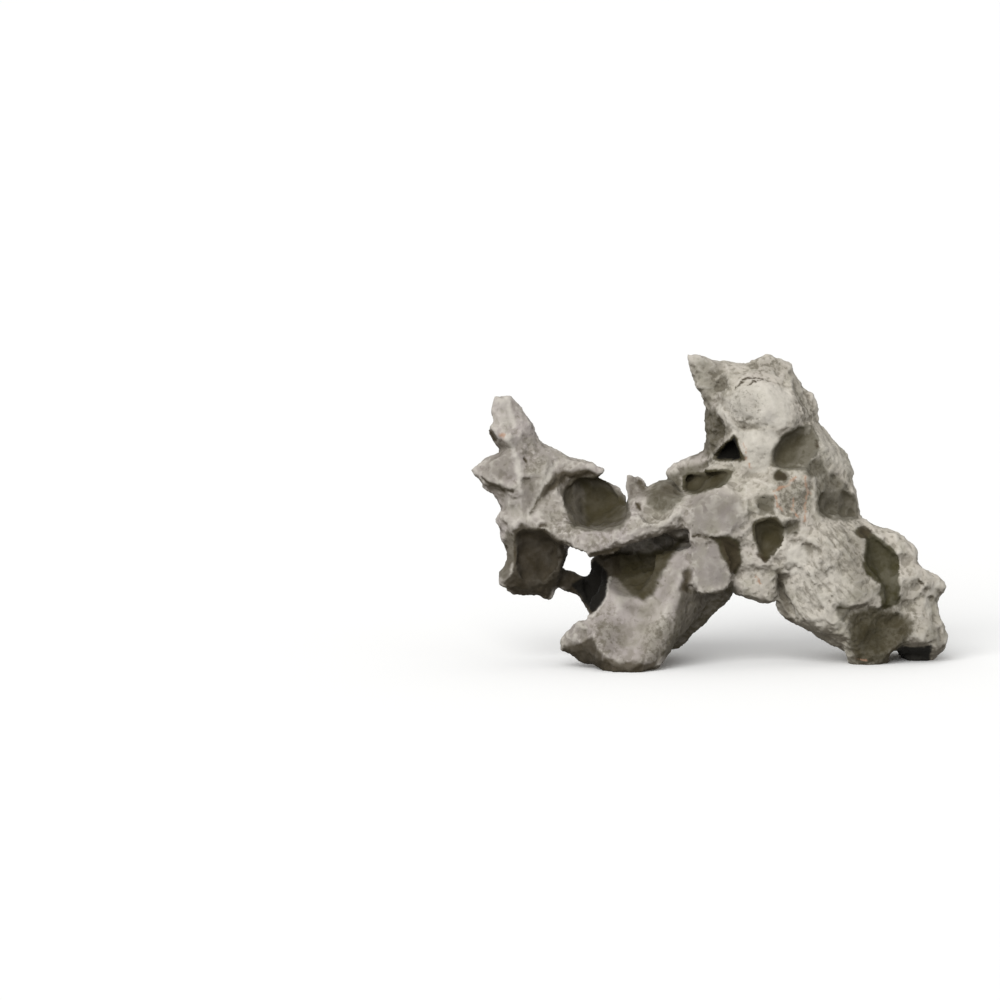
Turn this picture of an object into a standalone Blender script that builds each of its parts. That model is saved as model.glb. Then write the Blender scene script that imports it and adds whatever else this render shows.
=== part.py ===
# Tsingy rock: one loose piece of grey karst limestone, about 200 mm wide, standing on three feet.
# Lumps of sound stone are unioned first. Rounded hollows, as acid water leaves them, are then cut out,
# so that knife-edged crests stay between them. Last, the feet are levelled where the stone rests.
# Places and radii are in millimetres: +X right, +Y away from the front, +Z up, z = 0 at the floor.

from math import cos, radians, sin

import bmesh
import bpy
from mathutils import Matrix, Vector
from mathutils.bvhtree import BVHTree

MM = 0.001

STONE_VOXEL = 1.4
HOLLOW_VOXEL = 1.1
SURFACE_VOXEL = 1.2
BALL_SMOOTHNESS = 3
GROWTH = 0.6
SWELL_SIZE = 26.0
SWELL_HEIGHT = 2.2
SCALLOP_SIZE = 9.0
SCALLOP_HEIGHT = 1.3
KEPT_FACES = 0.085
FLOOR_SIZE = 400.0
FLOOR_DEPTH = 40.0
SIGHT_LENGTH = 500.0
# The middle of the stone's footprint, which becomes the origin.
MIDDLE = Vector((0.6, -2.0, 0))

# Each lump is the convex hull of a few balls, given as (x, y, z, radius).
LUMPS = {
    # the tower, with its spike, crown and side knob
    "tower_top": [
        (7.2, 6, 118.4, 8.5), (26, 4, 117.6, 10.5), (8, 6, 98, 9.5), (35, 6, 103, 10.3), (20, -9, 110, 10),
        (28, -9, 104, 10), (22, 20, 104, 12),
    ],
    "tower_waist": [
        (8, 6, 92, 9.3), (35, 6, 97, 11), (48.6, 6, 80, 12.3), (14, 2, 78, 14), (30, 20, 80, 14),
        (20, -10, 94, 8), (36, -6, 92, 10),
    ],
    "spike": [(-8.4, 0, 130, 0.8), (0, 2, 121, 3.8), (4, 3, 122.6, 4.4), (0.5, 3, 112, 3.3)],
    "crown": [(25, 0, 126.8, 3.8), (18, 2, 122, 4.3), (30.4, 2, 122.8, 4.8), (26, 10, 120, 6)],
    "side_knob": [(41.6, 4, 111.6, 3.2), (37, 6, 104, 6), (42.8, 6, 103, 4)],
    # the middle of the stone
    "body": [
        (10, 4, 64, 14), (50, 4, 68, 13), (14, 0, 44, 12), (40, -8, 48, 14), (55, 8, 56, 10),
        (20, 16, 66, 14), (44, 22, 62, 14), (30, -14, 62, 11), (34, -9, 76, 12), (18, -14, 68, 10),
        (18, -12, 48, 10),
    ],
    "hem": [(15, -10, 40, 8), (16, -14, 33.5, 5), (24, -14, 32, 5), (20, -10, 50, 10), (12, -10, 34, 4)],
    "brow": [
        (-7, -22, 66, 3), (1, -23, 69, 3), (12, -20, 66, 6), (4, -12, 76, 4), (13, -16, 56, 7),
        (-7.5, -22, 54, 2), (4, -24, 58, 3),
    ],
    "brow_step": [(1, -8, 80, 3), (10, -8, 82, 4), (12, -12, 74, 5), (-6, -14, 70, 3), (-4, -4, 68, 8)],
    "apron": [
        (-5.4, -22, 52, 2), (8, -21, 52, 2.4), (-5.6, -22, 37, 2), (-3, -22, 33.4, 2), (4.4, -20, 33.6, 2),
        (7.6, -18, 40, 2), (2, -4, 42, 8),
    ],
    "rear_rim": [
        (-14.5, 6, 79.3, 3.2), (-7, 6, 80, 3.2), (6, 6, 87, 4.4), (8, 4, 78, 8), (-10, 6, 70, 6),
    ],
    "saddle": [(-20, 0, 66, 7), (-8, 4, 68, 8), (-2, 2, 60, 10), (-12, -6, 60, 7)],
    "waist_core": [(-14, 6, 52, 8), (-4, 2, 56, 8), (0, 10, 62, 8), (-18, 8, 60, 7), (-6, 8, 44, 9)],
    "cave_back": [(-26, 8, 57, 7.4), (-38, 8, 49, 6), (-16, 8, 58, 8), (-30, 12, 44, 8)],
    # the right leg
    "slope": [
        (39.2, -8, 27.4, 10.4), (50, -12, 22.6, 9.2), (44, -12, 50, 12), (62.6, -8, 12.4, 7), (70, -6, 7, 6.6),
        (76, 2, 46, 9), (64, 4, 52, 8), (80, 0, 30, 10), (84, 2, 12, 7), (60, 18, 40, 12),
        (74, 20, 14, 9), (62, -12, 30, 8),
    ],
    "ridge": [
        (78, -4, 51, 3.8), (83, -2, 47.5, 2.9), (87.4, 0, 38.6, 2.9), (99.6, -2, 32, 0.7), (92, 0, 27, 4),
        (82, -8, 34, 4), (80, 0, 38, 6),
    ],
    "outer_leg": [
        (88, 0, 24, 7.5), (95.5, -4, 10, 4.6), (93, 4, 6, 5), (84, -2, 14, 8), (90, 18, 14, 8),
        (88, 22, 6, 5), (88, -10, 14, 4),
    ],
    "heel": [(89, 4, 3, 5), (87, 16, 4, 7), (90, 10, 10, 6)],
    "toe": [(66, -8, 4, 7), (71.6, -7, 4, 4.6), (65, -10, 12, 7.6), (74, -8, 12, 8), (60, -14, 14, 4)],
    # the ledge that crosses to the left arm, and the stone round its basin
    "ledge_root": [
        (-10, -17, 66, 6), (-12, -19, 63.5, 4), (-28, -20, 60, 5), (-30, -14, 62, 5), (-18, -4, 64, 7),
    ],
    "ledge": [
        (-28, -20, 60, 4.5), (-38, -22, 54.8, 3), (-50, -22, 50, 2.4), (-60, -16, 55.5, 3.4),
        (-60, -2, 57, 5), (-46, 0, 55, 5), (-32, 0, 60, 6),
    ],
    "ledge_tip": [(-50.8, -22, 47.6, 0.8), (-49, -20, 51, 3), (-42, -21, 52, 3)],
    "ledge_arm": [(-50, -19, 52, 3.5), (-60, -16, 56, 3.6), (-72, -11, 60, 5), (-64, 0, 58, 6)],
    "pillar": [
        (-31, -8, 68, 3), (-25.4, -7, 71.2, 3.4), (-30, -14, 61, 5), (-18, -10, 64, 8),
        (-18.6, -5, 73.4, 4.4), (-34, -2, 62, 4), (-23, -13, 66, 5),
    ],
    "pillar_spike": [(-35, -6, 79.2, 0.6), (-30, -5, 78.6, 0.9), (-31.4, -7, 68, 2.2), (-28, -6, 70.6, 3)],
    "basin_wall": [
        (-62, 6, 80, 4), (-46, 6, 75.4, 2), (-42, 6, 73.4, 1.8), (-40, 6, 67.6, 1.8), (-33, 6, 62, 4),
        (-58, 6, 56, 6), (-42, 4, 56, 6), (-62, -6, 66, 5), (-48, 12, 66, 4),
    ],
    # the left arm
    "arm_spire": [
        (-89, -6, 111.2, 2.2), (-85, -5, 111.4, 2.2), (-91.7, -6, 100.4, 2.6), (-79.5, -4, 99.5, 4.6),
        (-84, -10, 96, 3), (-78, -2, 92, 5.5), (-86, 0, 94, 4),
    ],
    "arm": [
        (-76, -2, 90, 5), (-66, 0, 84, 4.6), (-82, -10, 86, 3), (-80, -10, 77, 3), (-84, -4, 72, 4),
        (-80, -10, 64, 4), (-66, -6, 62, 5), (-62, 4, 78, 5), (-68, -8, 80, 3),
    ],
    "fin": [
        (-99.6, -7, 82.2, 0.6), (-91.4, -4, 82, 5), (-92, -7, 78, 3), (-84, -9, 86, 4), (-82, -11, 76, 3),
    ],
    "fin_skirt": [(-92.8, -3, 75.6, 2.4), (-87.4, -2, 73.4, 3.8), (-84, -6, 78, 4), (-84, -4, 68, 4)],
    "shelf": [
        (-45.8, -3, 81.4, 1.6), (-50, -3, 82.2, 2.4), (-58, -3, 82.6, 3), (-66, 0, 84, 4.6),
        (-64, 4, 76, 6), (-52, 6, 79, 2.6),
    ],
    "arm_lower": [
        (-83, -7, 62, 4.6), (-80, -11, 58, 2.5), (-68, -6, 60, 6), (-84, -3, 54, 4), (-66, 0, 56, 6),
        (-80, -2, 48, 5),
    ],
    "arm_back": [(-83.5, 2, 93, 4.6), (-82, 4, 74, 5.4), (-80, 4, 56, 5), (-79, 5, 46, 4.4)],
    "wart": [(-89, -5, 60.5, 1.6), (-84, -5, 62.5, 4), (-84, -5, 57, 3.5)],
    "blob": [
        (-83.8, -4, 36.4, 5), (-82, -6, 47, 3), (-81, 1, 33, 4.4), (-70, 2, 34, 5), (-67, 4, 46, 6),
        (-67, 0, 52, 6), (-80, 4, 50, 5), (-82, -8, 40, 3), (-66, -2, 40, 3),
    ],
    "blob_spike": [(-68, 2, 27, 1.1), (-70, 3, 33, 3), (-66.5, 4, 36, 2)],
    "strip": [(-66, 5, 35, 2.2), (-60, 7, 35, 1.9), (-54.6, 8, 30.6, 3), (-49, 8, 32, 4)],
    # the left leg
    "leg_back": [
        (-48.5, 8, 39, 3), (-51.6, 8, 29.6, 3.4), (-47, 4, 22, 3.4), (-40, 10, 44, 5), (-20, 6, 50, 6),
        (-30, 16, 20, 8),
    ],
    "leg": [
        (-9, -17, 46, 3), (-12, -20, 30, 3), (-19, -26, 14, 3.4), (-26, -31, 6, 5), (-34, -34, 4.6, 6),
        (-43, -31, 7, 5.6), (-49, -24, 20, 2), (-43, -12, 36, 2.4), (-40, -4, 40, 5), (-8, -4, 30, 8),
        (-4, -2, 40, 8), (-18, -2, 14, 5),
    ],
    "flank": [
        (4.6, -2, 32.4, 6.2), (-4.4, 0, 22.8, 5), (-11, 2, 14.8, 4.6), (-15, 2, 7.4, 2.2), (-20, 8, 16, 8),
        (-8, 6, 32, 9),
    ],
    "foot": [
        (-39, -33, 4, 5.4), (-32, -33, 4, 5.4), (-25, -26, 5, 5), (-46, -27, 5.4, 4.6), (-34, -16, 6, 8),
    ],
    "foot_knob": [(-59.8, -22, 9.8, 3), (-54.4, -24, 16.4, 3.6), (-50, -24, 9.4, 6), (-52, -22, 6.6, 4)],
    "back_foot": [(-36, 18, 5, 6), (-24, 20, 5, 5.5), (-28, 12, 18, 8)],
}

# Each hollow is the convex hull of a few balls too, (x, y, z, radius), and is cut out of the lumps.
HOLLOWS = {
    "tower_left_curve": [(-13, 0, 104, 10.2), (-12.5, 4, 96, 10)],
    "hole": [(-56.2, -30, 46.4, 5.6), (-56.2, 22, 40.4, 5.6), (-52.5, -30, 43, 4), (-52.5, 22, 36.5, 4)],
    "edge_scoop": [(104.6, -4, 21.5, 8.4)],
    "heel_cave": [(84, -18, 1.8, 5.4), (92, -18, 0.8, 5.4), (87.6, -5, 0, 5)],
    "instep": [(78.6, -30, 4.6, 3.8), (79.4, 40, -2.8, 3.8)],
    "ridge_curve": [(98, -2, 46, 10.8)],
    "arm_left_curve": [(-94.8, -4, 66.2, 6.6)],
    "blob_left_curve": [(-92.4, -4, 45, 7.4)],
    "knob_notch": [(-55.8, -28, 24, 4.2), (-56.4, -10, 25, 4.8)],
    "leg_trough": [(-27, -33, 40, 14), (-34.5, -45, 21, 17), (-38, -52, 13, 17.5)],
    "floor_arch": [
        (-2, -10, 4, 8), (21, -10, 12, 10.5), (40, -10, -5.6, 12.4),
        (-2, 40, 4, 8), (21, 40, 12, 10.5), (40, 40, -5.6, 12.4),
    ],
}

# Each scoop is cut where a line of sight meets the lumps. The sight is (turn, lift) in degrees, with
# turn 0 from the front and 90 from the right. Its balls are (across, up, radius, depth below the skin).
SCOOPS = {
    (0, 6): {
        # tower
        "tower_scoop": [(32, 87.5, 7.4, 8), (38, 91, 8, 9)],
        "tower_scoop_pit": [(28.5, 78, 2, 4)],
        "tower_dimple": [(45.5, 92, 1.8, 2.5)],
        "tower_shoulder": [(44, 83, 4, 2.5)],
        "tower_shelf": [(49, 78.5, 5, 2.2), (54, 80, 4, 1.6)],
        "tower_cave": [(10.2, 93, 2.3, 16), (11.6, 87, 2.8, 16), (5.4, 87.4, 2.1, 14)],
        "tower_recess": [(4, 101, 5, 3), (3, 94, 5.5, 4.6), (1, 90, 4, 4)],
        "spike_pit": [(5, 119, 4, 3.6), (3, 114, 3, 2.6)],
        "spike_face": [(-2, 121, 3, 1.4)],
        "crown_notch": [(36, 116, 2, 2.6)],
        "crown_face": [(26, 121, 6, 1.2)],
        "tower_flank": [(41, 105, 5, 2)],
        "nose_left": [(6, 99, 4, 2)],
        # body
        "rim_slot": [(-8, 75, 3, 8), (-3, 75.4, 2.6, 8), (3, 78, 2, 5)],
        "rust_patch": [(33, 69, 12, 1.8)],
        "body_dimple": [(24, 65, 6, 2.4)],
        "body_scoop": [(24.6, 53, 6.6, 8)],
        "body_scoop_side": [(35, 57, 3.4, 3)],
        "body_slot": [(21, 46.4, 1.5, 3), (23.5, 43.8, 1.5, 3)],
        "shoulder_scoop": [(51, 67, 8, 8), (57, 66, 7.4, 7)],
        "shoulder_upper": [(53, 75.5, 4, 2.4)],
        "slope_pit": [(66, 55, 2.4, 3)],
        "brow_pit": [(-3, 65, 1.7, 2.4)],
        "brow_face": [(5, 63, 9, 1.6)],
        "brow_under": [(-6, 51.6, 1.5, 5), (4, 51.4, 1.7, 5)],
        "apron_side": [(7.5, 47, 4.4, 4), (10, 41, 3.6, 4)],
        "apron_slot": [(-9, 37, 1.5, 4), (-10, 33, 1.6, 4)],
        "hem_pit": [(16, 42, 2.2, 2), (18, 38, 2, 1.6)],
        "lower_slot": [(28.6, 37, 1.6, 5), (30, 31, 2.6, 7), (32, 23, 3.4, 7)],
        # right leg
        "olive_scoop": [(69, 51, 4, 5), (73, 44, 6.8, 8), (73, 37, 5, 6)],
        "olive_tail": [(78, 30.5, 3.6, 3.6), (77, 26, 3, 3)],
        "toe_scoop": [(64.5, 14, 8, 7), (79, 14, 8, 7), (71, 9, 9, 8)],
        "toe_dimple": [(56, 21, 4, 3)],
        "slope_facet": [(37, 43, 9, 1.8)],
        "slope_facet_low": [(48, 29, 9, 1.6)],
        "slope_facet_high": [(53, 50, 8, 1.4)],
        "slope_facet_right": [(60, 36, 8, 1.5)],
        "ridge_face": [(85, 42, 5, 1.6)],
        "ridge_face_low": [(88, 29, 5, 1.6)],
        "outer_face": [(90, 15, 5, 2)],
        # ledge, basin and left leg
        "basin": [(-53, 68, 9.4, 10), (-46, 66.6, 9.4, 10), (-41, 63, 6, 9)],
        "basin_lip": [(-41, 60.5, 5, 6), (-52, 60, 6, 7)],
        "pillar_face": [(-24, 69, 5, 1.8)],
        "pillar_pit": [(-30.6, 65, 1.5, 2.2)],
        "ledge_face": [(-42, 52, 4.5, 1)],
        # left arm
        "spire_left": [(-90, 105, 5, 0.9)],
        "spire_right": [(-82, 105, 4.6, 1.5)],
        "arm_cheek": [(-85.6, 89, 3, 2.2), (-84.5, 81, 5, 2.6)],
        "fin_face": [(-91, 81, 6, 1)],
        "fin_slot": [(-91, 75, 1.2, 2.6), (-84, 72.6, 1.3, 3)],
        "arm_face": [(-74, 88, 6, 1.6)],
        "arm_slot_top": [(-75.6, 75.4, 2.8, 4), (-77, 68, 2.2, 4), (-77.6, 64, 1.5, 3)],
        "arm_slot_long": [(-62.5, 76.5, 2.2, 4), (-69, 70.5, 2.2, 5), (-74, 63, 1.7, 4)],
        "arm_facet": [(-64, 67, 4.6, 1.6)],
        "arm_outer": [(-84, 64, 4.4, 1.6)],
        "arm_rim_pits": [(-69, 57, 2.6, 2.4), (-65, 55.5, 2, 2)],
        "blob_scoop": [(-70, 47, 9.6, 7), (-67, 41, 9.6, 6), (-76, 51, 5, 5)],
        # left leg
        "knob_face": [(-57, 11, 4, 1.2)],
        "leg_pits": [(-19, 16, 2.2, 2), (-18, 12, 1.8, 1.6)],
    },
    (-12, 0): {
        "leg_cave": [(-30, 46, 8, 12), (-40, 41, 6, 10), (-18, 52, 5.4, 10), (-28, 36, 6, 8)],
    },
    (180, 6): {
        "back_tower": [(-24, 108, 13, 5)],
        "back_tower_left": [(-8, 104, 11, 3.4)],
        "back_tower_low": [(-10, 88, 11, 4), (-16, 84, 11, 4)],
        "back_tower_side": [(-37, 90, 12, 5)],
        "back_tower_foot": [(-27, 78, 9, 2.6)],
        "back_body": [(-14, 66, 12, 4)],
        "back_body_mid": [(-32, 66, 11, 3.6)],
        "back_body_right": [(-52, 68, 12, 5), (-46, 62, 12, 5)],
        "back_body_low": [(-22, 48, 13, 4)],
        "back_waist": [(-2, 56, 11, 4)],
        "back_slope": [(-60, 48, 13, 5), (-68, 40, 12, 4.6)],
        "back_slope_mid": [(-42, 44, 12, 4)],
        "back_slope_low": [(-58, 26, 13, 4)],
        "back_outer": [(-78, 26, 10, 4), (-83, 18, 10, 4)],
        "back_ridge": [(-84, 42, 10, 3)],
        "back_saddle": [(12, 68, 9, 3)],
        "back_pillar": [(30, 66, 7, 1.4)],
        "back_leg": [(14, 44, 11, 4), (22, 34, 11, 4)],
        "back_leg_upper": [(36, 46, 10, 3)],
        "back_leg_low": [(36, 28, 10, 4)],
        "back_foot_face": [(28, 12, 8, 3)],
        "back_arm": [(66, 72, 11, 3)],
        "back_basin": [(50, 66, 11, 2.6)],
        "back_arm_high": [(80, 92, 9, 2.6)],
        "back_arm_edge": [(82, 76, 8, 2.4)],
        "back_arm_low": [(76, 52, 9, 2.6)],
        "back_blob": [(74, 40, 8, 2)],
    },
    (90, 8): {
        "right_tower": [(14, 108, 10, 2.6)],
        "right_shoulder": [(16, 90, 10, 3), (18, 82, 10, 3)],
        "right_body": [(17, 66, 10, 2.6)],
        "right_ridge": [(12, 48, 11, 4), (18, 38, 10, 4)],
        "right_heel": [(12, 24, 9, 3)],
    },
    (-90, 8): {
        "left_tower": [(-12, 112, 11, 3.6)],
        "left_tower_low": [(-16, 94, 11, 4)],
        "left_leg": [(0, 30, 10, 3.4)],
        "left_leg_low": [(16, 12, 8, 2.4)],
        "left_arm": [(2, 88, 8, 1.8)],
    },
    (0, 88): {
        "top_tower": [(14, 12, 11, 3)],
        "top_crown": [(30, 12, 9, 2.4)],
        "top_shoulder": [(46, 18, 11, 4)],
        "top_slope": [(70, 14, 11, 4)],
        "top_outer": [(88, 14, 9, 3)],
    },
}


def clear_scene():
    for obj in list(bpy.data.objects):
        bpy.data.objects.remove(obj, do_unlink=True)


def ball_hull(knobs, growth):
    """Mesh of the convex hull of some balls, (x, y, z, radius) in millimetres, with each radius grown."""
    shape = bmesh.new()
    for x, y, z, radius in knobs:
        place = Matrix.Translation((Vector((x, y, z)) - MIDDLE) * MM)
        ball_radius = (radius + growth) * MM
        bmesh.ops.create_icosphere(shape, subdivisions=BALL_SMOOTHNESS, radius=ball_radius, matrix=place)
    found = bmesh.ops.convex_hull(shape, input=shape.verts)
    inside = {v for v in found["geom_interior"] + found["geom_unused"] if isinstance(v, bmesh.types.BMVert)}
    bmesh.ops.delete(shape, geom=list(inside), context="VERTS")
    bmesh.ops.recalc_face_normals(shape, faces=shape.faces)
    mesh = bpy.data.meshes.new("ball_hull")
    shape.to_mesh(mesh)
    shape.free()
    return mesh


def group_of_hulls(name, groups, growth=0.0):
    """One object with a separate closed hull for each named group of balls."""
    together = bmesh.new()
    for knobs in groups.values():
        hull = ball_hull(knobs, growth)
        together.from_mesh(hull)
        bpy.data.meshes.remove(hull)
    mesh = bpy.data.meshes.new(name)
    together.to_mesh(mesh)
    together.free()
    obj = bpy.data.objects.new(name, mesh)
    bpy.context.scene.collection.objects.link(obj)
    return obj


def add_remesh(obj, voxel):
    """Joins overlapping hulls into one closed skin."""
    modifier = obj.modifiers.new("one skin", "REMESH")
    modifier.mode = "VOXEL"
    modifier.voxel_size = voxel * MM


def add_relief(obj, name, kind, size, height, middle):
    """Pushes the skin in and out along its normals by a procedural texture."""
    texture = bpy.data.textures.new(name, kind)
    texture.noise_scale = size * MM
    modifier = obj.modifiers.new(name, "DISPLACE")
    modifier.texture = texture
    modifier.texture_coords = "LOCAL"
    modifier.strength = height * MM
    modifier.mid_level = middle


def sight_axes(turn, lift):
    """Unit vectors to the right, upwards and towards the eye for a line of sight."""
    a, e = radians(turn), radians(lift)
    across = Vector((cos(a), sin(a), 0))
    towards = Vector((sin(a) * cos(e), -cos(a) * cos(e), sin(e)))
    return across, towards.cross(across), towards


def scoop_knobs(skin, sight, marks):
    """Balls in space for a scoop whose marks are (across, up, radius, depth), each sunk below the skin."""
    right, upward, towards = sight_axes(*sight)
    knobs = []
    for across, up, radius, depth in marks:
        eye = right * across + upward * up + towards * SIGHT_LENGTH - MIDDLE
        met = skin.ray_cast(eye * MM, -towards)[0] / MM + MIDDLE
        knobs.append((*(met + towards * (radius - depth)), radius))
        if depth > radius:
            knobs.append((*(met + towards * radius), radius))
    return knobs


def placed_scoops(stone):
    """Every scoop as balls in space, found on the present skin of the stone."""
    bpy.context.view_layer.update()
    skin = BVHTree.FromObject(stone, bpy.context.evaluated_depsgraph_get())
    return {
        name: scoop_knobs(skin, sight, marks)
        for sight, group in SCOOPS.items()
        for name, marks in group.items()
    }


def add_cut(obj, cutter, solver="EXACT"):
    modifier = obj.modifiers.new(f"cut {cutter.name}", "BOOLEAN")
    modifier.operation = "DIFFERENCE"
    modifier.solver = solver
    modifier.object = cutter
    cutter.hide_render = True
    cutter.display_type = "WIRE"


def floor_block():
    """Everything below the floor, which levels the feet."""
    bpy.ops.mesh.primitive_cube_add(size=1, location=(0, 0, -FLOOR_DEPTH / 2 * MM))
    block = bpy.context.object
    block.name = "floor_block"
    block.scale = (FLOOR_SIZE * MM, FLOOR_SIZE * MM, FLOOR_DEPTH * MM)
    return block


def limestone():
    stone = bpy.data.materials.new("grey karst limestone")
    stone.use_nodes = True
    shader = stone.node_tree.nodes["Principled BSDF"]
    shader.inputs["Base Color"].default_value = (0.43, 0.41, 0.37, 1)
    shader.inputs["Roughness"].default_value = 0.92
    shader.inputs["Metallic"].default_value = 0.0
    return stone


def rock():
    stone = group_of_hulls("rock", LUMPS, GROWTH)
    stone.data.materials.append(limestone())
    add_remesh(stone, STONE_VOXEL)
    add_relief(stone, "swells", "CLOUDS", SWELL_SIZE, SWELL_HEIGHT, 0.5)
    hollows = group_of_hulls("hollows", {**HOLLOWS, **placed_scoops(stone)})
    add_remesh(hollows, HOLLOW_VOXEL)
    add_cut(stone, hollows, "MANIFOLD")
    add_remesh(stone, SURFACE_VOXEL)
    add_relief(stone, "scallops", "VORONOI", SCALLOP_SIZE, SCALLOP_HEIGHT, 0.5)
    fewer = stone.modifiers.new("fewer faces", "DECIMATE")
    fewer.ratio = KEPT_FACES
    add_cut(stone, floor_block())
    return stone


clear_scene()
rock()
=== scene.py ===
# Its colours also hold painted shade in hollows, caves and undersides, and painted highlights on its crests.
# Tsingy rock: one piece of grey karst limestone on three feet, with its studio floor, light and camera.
# The stone is modelled as water makes it: sound lumps, then rounded hollows eaten out of them, then
# scallops, rills, pits and grain on the skin, and at last the stains that each place has taken.
# Lengths are in millimetres: +X right, +Y away from the front, +Z up, z = 0 at the floor.
from math import cos, radians, sin

import bpy
import numpy as np
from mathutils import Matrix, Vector, noise
from mathutils.bvhtree import BVHTree


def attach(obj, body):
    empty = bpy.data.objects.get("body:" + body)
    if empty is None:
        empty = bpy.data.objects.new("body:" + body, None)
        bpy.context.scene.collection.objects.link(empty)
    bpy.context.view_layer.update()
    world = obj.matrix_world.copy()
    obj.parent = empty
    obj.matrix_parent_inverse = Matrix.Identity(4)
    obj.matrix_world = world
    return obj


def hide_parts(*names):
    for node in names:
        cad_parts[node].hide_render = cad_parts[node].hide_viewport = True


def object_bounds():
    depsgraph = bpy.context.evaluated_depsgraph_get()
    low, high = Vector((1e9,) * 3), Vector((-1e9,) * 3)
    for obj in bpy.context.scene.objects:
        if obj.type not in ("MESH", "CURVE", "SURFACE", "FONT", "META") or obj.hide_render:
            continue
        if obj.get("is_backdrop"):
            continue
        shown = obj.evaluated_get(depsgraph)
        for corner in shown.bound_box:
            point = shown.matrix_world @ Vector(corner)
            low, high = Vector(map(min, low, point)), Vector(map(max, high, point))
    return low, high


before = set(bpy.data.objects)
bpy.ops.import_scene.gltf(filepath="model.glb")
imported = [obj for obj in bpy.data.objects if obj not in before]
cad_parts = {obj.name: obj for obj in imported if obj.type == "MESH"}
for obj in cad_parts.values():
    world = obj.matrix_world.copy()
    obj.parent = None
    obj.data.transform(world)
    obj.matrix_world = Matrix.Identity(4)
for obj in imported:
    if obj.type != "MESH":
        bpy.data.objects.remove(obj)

mm = 0.001
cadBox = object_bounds()
frontSight = (0, 6)  # turn and lift, in degrees, of a look along the camera

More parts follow.
